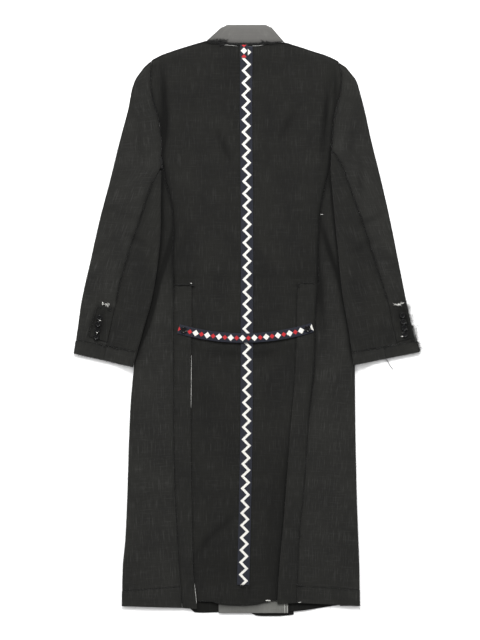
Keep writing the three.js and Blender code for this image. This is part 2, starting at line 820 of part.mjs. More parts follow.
// Buttons
function button(name, diameter, x, down, base) {
  const r = diameter / 2;
  const profile = [
    [0, 0],
    [r * 0.8, 0],
    [r, BUTTON_HEIGHT * 0.35],
    [r, BUTTON_HEIGHT * 0.75],
    [r * 0.86, BUTTON_HEIGHT],
    [0, BUTTON_HEIGHT * 0.8],
  ].map(([out, up]) => new THREE.Vector2(out, up));
  const geometry = new THREE.LatheGeometry(profile, 12);
  geometry.rotateX(Math.PI / 2);
  const material = new THREE.MeshStandardMaterial({ color: BLACK, roughness: 0.3, metalness: 0 });
  const mesh = new THREE.Mesh(geometry, material);
  mesh.name = name;
  mesh.position.copy(place(x, down, base));
  return mesh;
}

// Sleeve vents: a placket on the sleeve's upper cloth, with its buttons.
const PLACKET = {
  left: { top: 597, bottom: 672, wide: 38 },
  right: { top: 592, bottom: 672, wide: 33 },
};
const CUFF_BUTTONS = { count: 4, first: { left: 621, right: 616 }, pitch: 13.4, inset: [11, 17] };

function placketEdge(side) {
  const { top, bottom, wide } = PLACKET[side];
  return (down) => {
    const out = mix(wide, wide + 6, clamp((down - top) / (bottom - top)));
    return read(ELBOW_SEAM, side, down) + outwards[side] * out;
  };
}

function placket(side) {
  const { top, bottom } = PLACKET[side];
  const seam = (down) => read(ELBOW_SEAM, side, down) + outwards[side];
  const free = placketEdge(side);
  const slant = side === "left" ? 12 : 10;
  const lower = (across) => bottom - slant + slant * (side === "left" ? across : 1 - across);
  return panel({
    name: `placket_${side}`,
    left: side === "left" ? free : seam,
    right: side === "left" ? seam : free,
    top: () => top,
    bottom: lower,
    height: (x, down) => sleeveTop(x, down) + 2 * SEAM + THIN_CLOTH,
    thick: THIN_CLOTH,
    color: SLEEVE_CHARCOAL,
    shares: evenly(5),
    columns: evenly(3),
  });
}

function cuffButtons(side) {
  const edge = placketEdge(side);
  return Array.from({ length: CUFF_BUTTONS.count }, (_, k) => {
    const down = CUFF_BUTTONS.first[side] + k * CUFF_BUTTONS.pitch;
    const inset = mix(...CUFF_BUTTONS.inset, k / (CUFF_BUTTONS.count - 1));
    const x = edge(down) - outwards[side] * inset;
    const base = sleeveTop(x, down) + 3 * SEAM + THIN_CLOTH;
    return button(`button_${side}_${k + 1}`, CUFF_BUTTON, x, down, base);
  });
}

function beltButton(side) {
  const x = BELT_ENDS[side] - outwards[side] * 11;
  const down = beltLine(x) + BELT_WIDTH / 2;
  return button(`belt_button_${side}`, BELT_BUTTON, x, down, beltTop(x) + SEAM);
}

const group = new THREE.Group();
["left", "right"].forEach((side) => {
  group.add(frontPanel(side));
  group.add(backPanel(side));
  group.add(sidePanel(side));
  group.add(hemBand(side));
  group.add(ventStrip(side));
  group.add(topSleeve(side));
  group.add(underSleeve(side));
  group.add(cuff(side));
  group.add(placket(side));
  group.add(...cuffButtons(side));
  group.add(beltButton(side));
});
group.add(collar());
group.add(frontFacing());
group.add(backTape());
group.add(neckTab());
group.add(halfBelt());

export default group;
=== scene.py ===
"""A long charcoal wool coat-blazer, laid flat on its front with its back up.

Every cloth piece is a thin closed shell on the form of its solid. Sizes are in millimetres and
are turned to metres when a mesh is made. "down" is the distance below the collar's top edge, and
"left" and "right" are as seen from above.
"""
import math

import bpy
import numpy as np
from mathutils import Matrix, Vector


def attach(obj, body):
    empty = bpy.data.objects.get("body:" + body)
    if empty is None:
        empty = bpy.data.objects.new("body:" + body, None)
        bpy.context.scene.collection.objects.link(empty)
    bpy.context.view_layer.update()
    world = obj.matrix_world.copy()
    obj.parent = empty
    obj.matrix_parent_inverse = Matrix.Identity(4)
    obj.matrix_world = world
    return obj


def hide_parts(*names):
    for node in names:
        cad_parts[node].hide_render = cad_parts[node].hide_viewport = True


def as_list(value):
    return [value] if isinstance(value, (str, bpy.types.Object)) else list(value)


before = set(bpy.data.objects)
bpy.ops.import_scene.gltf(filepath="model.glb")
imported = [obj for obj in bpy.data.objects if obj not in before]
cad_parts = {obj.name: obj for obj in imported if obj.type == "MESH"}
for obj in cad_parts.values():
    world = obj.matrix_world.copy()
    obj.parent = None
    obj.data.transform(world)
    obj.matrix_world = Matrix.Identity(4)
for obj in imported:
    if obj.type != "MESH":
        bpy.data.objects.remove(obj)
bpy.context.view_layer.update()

MM = 0.001
LENGTH = 1253
CLOTH, FRONT_CLOTH, THIN_CLOTH, TURNED_CLOTH = 2.0, 1.6, 1.5, 2.8
FACING, RIBBON, SEAM = 1.2, 1.2, 0.3
FOLD_HEIGHT = 8
TAPE_WIDTH, BELT_WIDTH, TAB_WIDTH, TAB_LENGTH = 26, 20, 16, 27
BELT_BUTTON, CUFF_BUTTON, BUTTON_HEIGHT = 14, 12.5, 3
SIDES = {"left": -1, "right": 1}


def table(columns, *rows):
    """Named columns of a short table, as arrays."""
    return dict(zip(columns.split(), np.array(rows, float).T))


ARMHOLE = table(
    "down left right",
    (30, -201, 195), (76, -201, 195), (106, -203, 201), (144, -201, 198), (174, -194, 191),
    (201, -186, 185), (254, -180, 181), (300, -181, 180),
)
SLEEVE_EDGE = table(
    "down left right",
    (76, -205, 200), (95, -221, 215), (117, -236, 232), (138, -243, 239), (180, -251, 250),
    (244, -268, 264), (329, -289, 285), (413, -311, 304), (498, -330, 321), (583, -349, 338),
    (646, -358, 352), (696, -366, 367),
)
ELBOW_SEAM = table(
    "down left right",
    (268, -180, 181), (274, -180, 187), (284, -180, 192.5), (302, -181, 203), (320, -190, 210),
    (338, -200, 216),
    (415, -226, 244), (473, -246, 263), (551, -269, 288), (595, -277, 301), (720, -305, 327),
)
SLEEVE_INSIDE = table(
    "down left right",
    (265, -179, 180), (307, -180, 178), (371, -181, 183), (464, -183, 192), (572, -198, 203),
    (647, -218, 216), (725, -240, 227),
)
BODY_EDGE = table(
    "down left right",
    (254, -180, 181), (284, -185, 190), (300, -193, 197), (320, -204, 202), (350, -211, 207),
    (392, -213, 210), (456, -216, 213), (519, -220, 217), (583, -226, 222), (647, -231, 226),
    (700, -236, 229), (795, -245, 230), (880, -249, 231), (1007, -253, 234), (1092, -257, 237),
    (1145, -262, 239), (1232, -264, 240),
)
SIDE_SEAM = table(
    "down left right",
    (254, -180, 181), (297, -177, 178), (330, -171, 169), (388, -157, 157), (447, -155, 153),
    (502, -156, 152), (551, -154, 152), (600, -154, 147), (729, -154, 143), (831, -154, 132),
    (965, -152, 123), (1083, -146, 112), (1186, -139, 107), (1235, -136, 106),
)
VENT_EDGE = table(
    "down left right",
    (549, -116, 109), (575, -116, 108), (697, -117, 105), (770, -118, 101), (831, -118, 95),
    (965, -117, 85), (1044, -115, 79), (1155, -113, 69), (1228, -105, 65),
)
CENTRE_SEAM = table(
    "down x", (41, 0), (180, -1), (420, 1), (840, 0), (1010, -3), (1223, -8)
)
SHOULDER_LINE = table(
    "out left right",
    (0, 41, 41), (40, 39.5, 39.5), (82, 34.5, 38.3), (100, 38, 42.8), (122, 44.5, 49.7),
    (145, 51.5, 57.2), (165, 58.2, 63.3), (181, 64.3, 70), (192, 70, 75.8), (201, 75, 83.5),
    (213, 87, 95.4), (221, 95.4, 104), (236, 117, 130), (245, 150, 159),
)
BACK_HEM = table(
    "x down",
    (-136, 1221), (-104, 1221), (-72, 1222.5), (-56, 1227), (-8, 1229.5), (20, 1227.5),
    (54, 1219.5), (106, 1220),
)
FRONT_HEMS = {
    "left": table(
        "x down",
        (-222, 1228), (-123, 1228), (-119, 1243), (-57, 1245), (8, 1246), (20, 1252),
        (30, LENGTH), (70, LENGTH), (100, 1250),
    ),
    "right": table("x down", (-60, 1243), (95, 1243), (200, 1229)),
}
FOLDS = table(
    "x down length width turn rise",
    (-48, 250, 90, 22, 70, -0.9), (82, 215, 75, 20, -62, 0.9), (-150, 250, 130, 24, 84, 1.1),
    (150, 235, 130, 24, -86, 1.1), (-60, 1090, 120, 30, -50, 1.2), (40, 1080, 160, 30, 84, 1),
    (-195, 900, 260, 34, 88, 1.2), (190, 960, 220, 30, -88, 1.2), (80, 480, 180, 30, 60, 0.8),
    (-90, 430, 160, 28, -66, 0.8),
)
# Finer creases of the body: thin diagonals on the upper back, drags beside the armholes,
# arcs on the skirt and soft waves along the vents.
CREASES = table(
    "x down length width turn rise",
    (-48, 258, 74, 7, 74, -1.2), (84, 212, 62, 7, -62, -1.1), (-112, 300, 150, 10, 80, -0.7),
    (118, 300, 170, 10, -82, -0.8), (-174, 163, 120, 8, 87, -1.2), (166, 200, 150, 8, -85, -1.2),
    (-177, 240, 90, 8, -82, -1.0),
    (-186, 190, 150, 9, 84, 0.6), (180, 190, 150, 9, -84, 0.6), (-52, 1062, 70, 9, -41, -1.3),
    (-89, 1100, 60, 9, -54, -1.2), (-30, 1100, 110, 12, -60, 0.8), (20, 1010, 170, 12, 84, -0.7),
    (56, 1050, 220, 14, -85, -1.1), (-200, 700, 200, 14, 82, 0.9), (200, 800, 240, 14, -84, 0.8),
    (-205, 1000, 180, 13, 87, -0.9), (190, 1080, 180, 13, -86, -0.8), (-96, 520, 150, 11, 84, -0.6),
    (100, 540, 150, 11, -85, -0.6), (-60, 780, 200, 15, 80, 0.7), (48, 800, 200, 15, -78, 0.6),
    (-30, 120, 110, 13, 20, 0.6), (90, 110, 110, 13, -24, 0.6), (-130, 130, 90, 13, 48, 0.6),
    (140, 130, 90, 13, -50, 0.6), (-88, 790, 60, 20, 40, -0.6), (-70, 620, 120, 12, 62, -0.5),
    (60, 470, 110, 10, 58, -0.6), (-186, 820, 150, 10, 76, -0.6), (176, 660, 130, 10, -80, -0.6),
    (-225, 1130, 110, 12, 60, 0.7), (150, 1180, 90, 12, -35, 0.6),
)
# Creases of the sleeves: drags at the elbow, soft waves towards the cuff, ease at the head.
SLEEVE_CREASES = table(
    "x down length width turn rise",
    (-215, 170, 90, 10, 78, -1.0), (215, 170, 90, 10, -78, -1.0), (-243, 300, 120, 12, 76, 1.0),
    (236, 300, 120, 12, -76, 1.0), (-262, 400, 90, 10, 20, -1.1), (268, 410, 90, 10, -18, -1.1),
    (-238, 452, 90, 9, 28, -1.1), (246, 470, 90, 9, -30, -1.0), (-300, 470, 90, 10, -30, -1.0),
    (292, 500, 80, 10, 26, -1.0), (-300, 560, 130, 13, 76, 1.0), (300, 570, 130, 13, -76, 1.0),
    (-232, 560, 130, 10, 64, -1.0), (240, 580, 130, 10, -70, -1.0), (-225, 250, 120, 9, 84, -0.8),
    (222, 250, 120, 9, -84, -0.8), (-330, 600, 100, 10, 70, -0.8), (330, 560, 90, 10, -74, -0.8),
)
# Soft dark bands of painted shade: in the creases, and where shade gathers beside laps and the
# sleeves.
SHADES = table(
    "x down length width turn rise",
    (-174, 160, 130, 7, 87, 1.1), (-176, 238, 90, 7, -82, 1.1), (-182, 250, 130, 6, 90, 0.7),
    (183, 235, 110, 6, -87, 0.7), (187, 136, 75, 5, 90, 0.6),
    (166, 203, 150, 6, -85, 1.0), (-46, 262, 76, 8, 68, 0.55),
    (86, 212, 64, 8, -62, 0.55), (-170, 494, 104, 5.5, -74, 1.1), (182, 500, 136, 6, 73, 1.1),
    (159, 590, 150, 9, 87, 0.7), (-52, 1062, 76, 7, -41, 0.5), (-89, 1100, 64, 7, -54, 0.5),
    (52, 1060, 240, 13, -85, 0.25), (-20, 696, 150, 9, 3, 0.5), (-10, 140, 380, 75, 0, 0.12),
    (58, 688, 90, 9, -10, 0.35), (-88, 785, 70, 26, 40, 0.25), (-40, 1150, 120, 30, 10, 0.25),
    (-130, 470, 150, 22, 86, 0.25), (120, 520, 160, 22, -86, 0.2), (0, 90, 150, 20, 0, 0.2),
    (182, 270, 24, 8, 90, 0.7), (-182, 300, 40, 8, 90, 0.6), (-193, 581, 94, 4.5, -76, 1.2),
    (-213, 648, 64, 4.5, -69, 1.3), (-170, 430, 300, 15, 88, 0.5), (166, 440, 280, 15, -88, 0.4),
)
# Soft dark bands on the sleeves: painted shade in creases, along the plackets' edges and over the
# sleeve tops, and the dark torn patch on the right cuff.
SLEEVE_SHADES = table(
    "x down length width turn rise",
    (240, 335, 60, 6, 88, 0.5), (257, 415, 52, 6, -25, 0.45), (-262, 400, 70, 8, 20, 0.25),
    (-238, 452, 80, 7, 28, 0.35), (246, 470, 80, 7, -30, 0.3), (-300, 470, 80, 10, -30, 0.2),
    (-310, 630, 90, 10, -80, 0.35), (335, 628, 84, 15, 73, 1.0), (-215, 380, 120, 9, -76, 0.25),
    (222, 250, 120, 8, -84, 0.25), (-225, 250, 120, 8, 84, 0.25), (-326, 632, 76, 4.5, -73, 0.9),
    (-306, 640, 66, 12, -78, 0.4), (-225, 185, 220, 70, 90, 0.15), (222, 185, 220, 70, 90, 0.15),
)

TWO_FRONTS = {"left": -60, "right": 100}
NECK_SIDE, BREAK_DOWN, VENT_TOP, HEM_DOWN = 76, 520, 549, 1228
SHOULDER_END = {"left": 201, "right": 195}
SIDE_HEM = {"left": {"seam": 1235, "fold": 1231}, "right": {"seam": 1224, "fold": 1231}}
DIPS = table("x width depth", (-140, 40, 1.5), (172, 30, 1.3))
VENT_RECESS = THIN_CLOTH + 2 * SEAM
ARMPIT = {"left": 318, "right": 292}
FRONT_SEAM_INSET = 42
SIDE_TOP = {"left": 302, "right": 280}
UNDER_SLEEVE_TOP = {"left": 310, "right": 274}
HEM_LINE = {"left": 1190, "right": 1188}
# Where each cuff is turned up, at the outer fold, the elbow seam and the inner fold, and its end
CUFF_LINE = {"left": (668, 680, 693), "right": (671, 677.2, 694)}
CUFF_END = {"left": (696, 725), "right": (693, 721)}
SLEEVE_HEAD = {"left": 76, "right": 80}
SEAM_EASE, RIBBON_EASE = 0.5, 0.25
COLLAR_TOP, COLLAR_FOOT = (-52, 52), (-84, 80)
BELT_ENDS, BELT_HANG, BELT_BUTTON_INSET = {"left": -144, "right": 140}, 21, 11
# Top, bottom and width of each placket
PLACKET = {"left": (597, 672, 38), "right": (592, 672, 33)}
CUFF_BUTTONS = {"count": 4, "first": {"left": 621, "right": 616}, "pitch": 13.4, "inset": (11, 17)}

# Painted shade: the cloth is darkened beside its sewn edges, and in a shadow line beside each
# sleeve's inner fold.
SEAM_SHADE = 0.95  # how dark the cloth turns beside a sewn edge
SLEEVE_LINE_SHADE = 1.7  # and beside a sleeve that lies on it
SHADE_REACH = 3.8  # how far both reach

ROUND_REACH = 0.9  # an edge rounds over within this distance
ROUND_SHARE = 0.4  # and falls by this share of the cloth's thickness
# Groove of the outer cloth beside an edge, by the edge's kind: depth and reach
GROOVES = {"seam": (0.5, 3.0), "pressed": (0.2, 2.0)}

# Catch stitches that show on each turned-up cuff: first and last share of its width, and count
CATCH_STITCHES = {"left": (0.36, 0.97, 7), "right": (0.42, 0.9, 9)}

# Steps of the cloth's grid: close at an edge, where the cloth rounds over or dips to a seam
EDGE_STEPS = np.array([0, 0.35, 0.9, 1.8, 3.2, 5.5])
GRID_STEP = 4.5


def mix(a, b, t):
    """The point at share t of the way from a to b."""
    return a + (b - a) * t


def ease(start, end, value):
    """Smooth step: 3t^2 - 2t^3 of the share of the way from start to end."""
    t = np.clip((np.asarray(value, float) - start) / (end - start), 0, 1)
    return t * t * (3 - 2 * t)


def read(columns, column, value, key="down"):
    """Cubic Hermite curve through a table's column, its slopes taken from the rows beside."""
    keys, heights = columns[key], columns[column]
    value = np.clip(np.asarray(value, float), keys[0], keys[-1])
    i = np.clip(np.searchsorted(keys, value, side="left") - 1, 0, len(keys) - 2)
    rows = np.arange(len(keys))
    before, after = np.maximum(rows - 1, 0), np.minimum(rows + 1, len(keys) - 1)
    slopes = (heights[after] - heights[before]) / (keys[after] - keys[before])
    step = keys[i + 1] - keys[i]
    t = (value - keys[i]) / step
    bend = t * t * (3 - 2 * t)
    start = t * (1 - t) ** 2 * step * slopes[i]
    end = t * t * (t - 1) * step * slopes[i + 1]
    return mix(heights[i], heights[i + 1], bend) + start + end


def bumps(columns, x, down):
    """Sum of bumps: each dies away as exp(-along^2 - across^2) about its own turned line."""
    x, down = np.asarray(x, float)[..., None], np.asarray(down, float)[..., None]
    turn = np.radians(columns["turn"])
    dx, dy = x - columns["x"], down - columns["down"]
    along = (dx * np.cos(turn) + dy * np.sin(turn)) / (columns["length"] / 2)
    across = (dy * np.cos(turn) - dx * np.sin(turn)) / columns["width"]
    return (columns["rise"] * np.exp(-(along**2) - across**2)).sum(-1)


def ripple(x, down):
    """Slight unevenness of laid cloth: a few long sine waves crossed at odd angles."""
    waves = ((61, 143, 0.3), (-88, 97, 1.9), (37, -71, 4.1), (29, 53, 2.2))
    return sum(0.11 * np.sin(2 * math.pi * (x / a + down / b) + c) for a, b, c in waves)


def by_side(x, left, right):
    """The left value where x is left of the middle, and the right one elsewhere."""
    return np.where(np.asarray(x) < 0, left, right)


def shoulder_line(x):
    """Shoulder and neck line: its height at a distance out from the centre."""
    out = np.abs(x)
    left = read(SHOULDER_LINE, "left", out, "out")
    return by_side(x, left, read(SHOULDER_LINE, "right", out, "out"))


def body_top(x, down):
    """Height of the body's outer cloth: the side folds' height less the dips beside the fronts."""
    t = (np.asarray(x, float)[..., None] - DIPS["x"]) / DIPS["width"]
    dips = (DIPS["depth"] * np.exp(-t * t)).sum(-1)
    facing_zone = ease(TWO_FRONTS["left"] - 40, TWO_FRONTS["left"] - 5, x) * (1 - ease(110, 150, x))
    hem = 1.4 * ease(1060, 1130, down) * facing_zone
    rim = (1 - ease(0, 14, down - shoulder_line(x))) * ease(82, 100, np.abs(x))
    height = FOLD_HEIGHT - dips * ease(60, 200, down) + hem + bumps(FOLDS, x, down)
    return mix(height, np.minimum(height, CLOTH + 2.3), rim)


def back_top(x, down):
    """Height of the back: the body's, less the recess between the vents."""
    return body_top(x, down) - VENT_RECESS * ease(VENT_TOP - 30, VENT_TOP - 7, down)


def inside_body(x, down):
    """Distance inside the body's side fold, negative outside it."""
    left = x - read(BODY_EDGE, "left", down)
    return by_side(x, left, read(BODY_EDGE, "right", down) - x)


def sleeve_ramp(side, down):
    """Width over which the sleeve's lower cloth climbs the body: more below the armpit."""
    return mix(9, 28, ease(ARMPIT[side], ARMPIT[side] + 70, down))


def sleeve_bottom(x, down):
    """The sleeve's lower cloth: on the surface outside the body, over its side fold inside."""
    ramp = by_side(x, sleeve_ramp("left", down), sleeve_ramp("right", down))
    armpit = by_side(x, ARMPIT["left"], ARMPIT["right"])
    rise = np.clip((inside_body(x, down) + ramp) / ramp, 0, 1)
    over = rise * rise * (3 - 2 * rise) * ease(-26, -14, down - armpit)
    return over * (np.maximum(body_top(x, down), FOLD_HEIGHT) + 0.6)


def sleeve_top(x, down):
    """The sleeve's upper cloth: flush with the back at the armhole, higher over the body's side."""
    armpit = by_side(x, ARMPIT["left"], ARMPIT["right"])
    rise = 5.6 * ease(-50, -6, down - armpit) + 3 * ease(0, 110, down - armpit)
    over = ease(-48, 2, inside_body(x, down))
    rim = 1 - ease(0, 14, down - shoulder_line(x))
    crest = 0.9 * np.exp(-(((down - 470) / 60) ** 2)) + 0.7 * np.exp(-(((down - 360) / 30) ** 2))
    return mix(FOLD_HEIGHT + rise * over + crest, CLOTH + 2.3, rim)


def centre(down):
    """The centre back seam's x."""
    return read(CENTRE_SEAM, "x", down)


# Mesh making

def new_piece(name, points, faces, finish, slot=None, nodes=(), flat_faces=slice(0), uv=None,
              shade=None):
    """A mesh object from points and uv in millimetres, and faces as lists of indices."""
    mesh = bpy.data.meshes.new(name)
    mesh.from_pydata((points * MM).tolist(), [], faces)
    smooth = np.ones(len(faces), bool)
    smooth[flat_faces] = False
    mesh.polygons.foreach_set("use_smooth", smooth)
    if uv is not None:
        layer = mesh.uv_layers.new(name="cloth")
        corner = np.zeros(len(mesh.loops), np.int32)
        mesh.loops.foreach_get("vertex_index", corner)
        layer.data.foreach_set("uv", (uv[corner] * MM).astype(np.float32).ravel())
    # The painted shade of each point, which darkens the wool.
    if shade is not None:
        dark = mesh.attributes.new("shade", "FLOAT", "POINT")
        dark.data.foreach_set("value", shade.astype(np.float32).ravel())
    mesh.materials.append(finish)
    mesh.update()
    piece = bpy.data.objects.new(name, mesh)
    bpy.context.scene.collection.objects.link(piece)
    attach(piece, "root")
    if nodes:
        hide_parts(*nodes)
    return piece


def facing_out(points, faces):
    """Faces of four indices, turned round where the volume that they enclose is negative."""
    p, q, r, s = (points[faces[:, k]] for k in range(4))
    volume = (p * np.cross(q, r)).sum() + (p * np.cross(r, s)).sum()
    return faces[:, ::-1] if volume < 0 else faces


def shell(name, outer, inner, uv, finish, slot, closed_across=False, shade=None):
    """A closed wall between an outer and an inner grid of points, joined round its edge."""
    rows, columns = outer.shape[:2]
    index = np.arange(2 * rows * columns).reshape(2, rows, columns)
    if closed_across:
        index = np.concatenate([index, index[:, :, :1]], axis=2)
    a, b = index[0], index[1]

    def quads(p, q, r, s):
        return np.stack([p.ravel(), q.ravel(), r.ravel(), s.ravel()], 1)

    skins = [
        quads(a[:-1, :-1], a[1:, :-1], a[1:, 1:], a[:-1, 1:]),
        quads(b[:-1, :-1], b[:-1, 1:], b[1:, 1:], b[1:, :-1]),
    ]
    rims = [
        quads(a[0, :-1], a[0, 1:], b[0, 1:], b[0, :-1]),
        quads(a[-1, :-1], b[-1, :-1], b[-1, 1:], a[-1, 1:]),
    ]
    if not closed_across:
        rims += [
            quads(a[:-1, 0], b[:-1, 0], b[1:, 0], a[1:, 0]),
            quads(a[:-1, -1], a[1:, -1], b[1:, -1], b[:-1, -1]),
        ]
    points = np.concatenate([outer.reshape(-1, 3), inner.reshape(-1, 3)])
    faces = facing_out(points, np.concatenate(skins + rims)).tolist()
    flat_faces = slice(sum(map(len, skins)), None)
    both = np.concatenate([uv.reshape(-1, 2)] * 2)
    if shade is not None:
        shade = np.concatenate([shade.ravel()] * 2)
    return new_piece(name, points, faces, finish, slot, (name,), flat_faces, both, shade)


def place(x, down, z):
    """Points of the garment from x, down and height."""
    return np.stack(np.broadcast_arrays(x, LENGTH / 2 - down, z), -1)


def declare(rests_on):
    """Turn what a piece of cloth lies on into a list, which is not kept."""
    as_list(rests_on)


def shares(length, end=True, step=GRID_STEP):
    """Shares of the way along a length: even steps, with close ones at its start and its end."""
    even = np.linspace(0, 1, max(3, round(length / step)) + 1)
    near = EDGE_STEPS / length
    reach = near[-1] * 1.4
    kept = even[(even > reach) & (even < (1 - reach if end else 2))]
    parts = [kept, near] + ([1 - near] if end else [])
    return np.unique(np.concatenate(parts).round(7))


def seam_shade(distance, strength=1.0):
    """Painted shade beside a sewn edge, which dies away as exp(-distance / reach)."""
    return strength * SEAM_SHADE * np.exp(-distance / SHADE_REACH)


def seam_strength(x, down):
    """How much of a seam's shade is left: little at the shoulders, and less beside the vents."""
    shoulder = 0.75 * (1 - ease(112, 162, down)) * ease(90, 130, np.abs(x))
    vents = 0.65 * by_side(x, ease(VENT_TOP, VENT_TOP + 50, down), ease(760, 900, down))
    return 1 - shoulder - vents * (np.abs(x) < 180)


def body_shade(x, down):
    """Painted shade of the body cloth: its bands, and the painted shadow line beside each sleeve's
    inner fold.
    """
    shade = bumps(SHADES, x, down)
    for side in SIDES:
        gap = np.abs(read(SLEEVE_INSIDE, side, down) - x)
        along_sleeve = ease(ARMPIT[side] - 30, ARMPIT[side] + 20, down) * (1 - ease(690, 730, down))
        shade = shade + SLEEVE_LINE_SHADE * along_sleeve * np.exp(-gap / SHADE_REACH)
    return shade


def back_shade(x, down):
    """Painted shade of the back: the body's, and a painted shadow line beside each vent, wide on
    the lower right.
    """
    low = ease(840, 960, down)
    left_strength = 0.55 - 0.2 * ease(640, 720, down) + 0.5 * ease(1020, 1110, down)
    left = left_strength * np.exp(-np.abs(x - read(VENT_EDGE, "left", down)) / 2.6)
    gap = np.abs(read(VENT_EDGE, "right", down) - x)
    right = (0.6 + 0.5 * low) * np.exp(-gap / mix(2.6, 9, low))
    return body_shade(x, down) + (left + right) * ease(VENT_TOP - 4, VENT_TOP + 4, down)


def sleeve_shade(x, down):
    """Painted shade of the sleeve cloth: the sum of its bands."""
    return bumps(SLEEVE_SHADES, x, down)


def facing_shade(x, down):
    """Shadow that the coat's hem throws on the facing, shorter towards the right."""
    reach = mix(8.0, 3.5, np.clip((x + 50) / 110, 0, 1))
    below = down - read(BACK_HEM, "down", x, "x")
    return 1.25 * np.exp(-np.clip(below, 0, None) / reach)


def round_over(distance, thick):
    """How far the cloth's skin falls as a quarter round towards an edge."""
    t = np.clip(1 - distance / ROUND_REACH, 0, 1)
    return ROUND_SHARE * thick * (1 - np.sqrt(1 - t * t))


def edge_drop(distance, kind, thick):
    """How far the outer skin falls towards an edge: a quarter round, and a groove at a seam."""
    drop = round_over(distance, thick)
    if kind in GROOVES:
        depth, reach = GROOVES[kind]
        drop = drop + depth * np.exp(-distance / reach)
    return drop


def round_ends(outer, inner, t, length, thick):
    """The outer skin of folded cloth, drawn in as a quarter round at its first and last rows."""
    near = round_over(np.minimum(t, 1 - t) * length, thick)[:, None, None]
    inwards = (inner - outer) / np.linalg.norm(inner - outer, axis=-1, keepdims=True)
    return outer + inwards * near


def panel(name, left, right, top, bottom, height, thick, edges, finish, slot="charcoal_wool",
          rests_on=(), step=GRID_STEP, fine=CREASES, shade_at=body_shade):
    """A shell over a panel: each point's x is shared out between the edges at its own height."""
    middle = (top(0.5) + bottom(0.5)) / 2
    across = shares(float(right(middle) - left(middle)), step=step)
    along = shares(float(bottom(0.5) - top(0.5)), step=step)
    across, along = np.meshgrid(across, along)
    down = mix(top(across), bottom(across), along)
    low, high = left(down), right(down)
    x = mix(low, high, across)
    z = height(x, down) + (bumps(fine, x, down) + ripple(x, down) if fine is not None else 0)
    length = bottom(across) - top(across)
    distances = {
        "left": across * (high - low), "right": (1 - across) * (high - low),
        "top": along * length, "bottom": (1 - along) * length,
    }
    outer_drop = sum(edge_drop(distances[e], kind, thick) for e, kind in edges.items())
    inner_rise = sum(edge_drop(distances[e], "round", thick) for e in edges)
    outer = place(x, down, z - np.minimum(outer_drop, 0.62 * thick))
    inner = place(x, down, z - thick + np.minimum(inner_rise, 0.3 * thick))
    uv = np.stack([x, LENGTH - down], -1)
    near_seam = sum(seam_shade(distances[e]) for e, kind in edges.items() if kind == "seam")
    shade = shade_at(x, down) + near_seam * seam_strength(x, down)
    piece = shell(name, outer, inner, uv, finish, slot, shade=shade)
    declare(rests_on)


def hem_of(columns, left, right):
    """Lower edge of a panel, read from a table at the x that a column has there."""

    def hem(across):
        x = mix(left(HEM_DOWN), right(HEM_DOWN), across)
        return np.minimum(read(columns, "down", x, "x"), LENGTH)

    return hem


def folded_section(seam, fold, end, top, bottom, thick, step, fine, edge_kind="seam",
                   seam_until=LENGTH):
    """Sections of folded cloth, a row for each: along the top from the seam, a half circle
    round the fold, and back along the underside to the end. Gives the outer and inner grids and
    the length run along the cloth. The seam's groove ends at seam_until."""
    seam, fold, end = (np.stack(p, -1)[:, None] for p in (seam, fold, end))
    reach = np.linalg.norm(fold - seam, axis=-1, keepdims=True)
    way = (fold - seam) / reach
    near = fold - way * FOLD_HEIGHT / 2
    high, low = top(near[..., 0], near[..., 1]), bottom(near[..., 0], near[..., 1])
    radius = (high - low) / 2
    turn = fold - way * radius[..., None]
    run = float(np.median(reach)) - FOLD_HEIGHT / 2
    t = shares(run, end=False, step=step)[:-1]
    flat = seam + (turn - seam) * t[None, :, None]
    x, down = flat[..., 0], flat[..., 1]
    z = mix(top(x, down), high, ease(0.6, 1, t)[None])
    z = z + (bumps(fine, x, down) + ripple(x, down)) * (1 - ease(0.8, 1, t))[None]
    distance = t[None] * (reach[..., 0] - radius)
    groove, no_groove = edge_drop(distance, edge_kind, thick), round_over(distance, thick)
    drop = np.minimum(mix(groove, no_groove, ease(seam_until - 12, seam_until, down)), 0.6 * thick)
    rise = no_groove * 0.6
    outer = [place(x, down, z - drop)]
    inner = [place(x, down, z - thick + rise)]
    lengths = [distance]
    angle = np.linspace(0, math.pi, 11)[None]
    small = radius - thick
    for skin, r in ((outer, radius), (inner, small)):
        ring = turn + way * (np.sin(angle) * r)[..., None]
        skin.append(place(ring[..., 0], ring[..., 1], low + radius + np.cos(angle) * r))
    lengths.append(reach[..., 0] - radius + angle * radius)
    under = np.linspace(0, 1, 9)[None, 1:]
    back = turn + (end - turn) * under[..., None]
    x, down = back[..., 0], back[..., 1]
    z = mix(low, bottom(x, down), ease(0, 0.4, under))
    outer.append(place(x, down, z))
    inner.append(place(x, down, z + thick))
    lengths.append(lengths[-1][:, -1:] + under * np.linalg.norm(end - turn, axis=-1))
    return np.concatenate(outer, 1), np.concatenate(inner, 1), np.concatenate(lengths, 1)


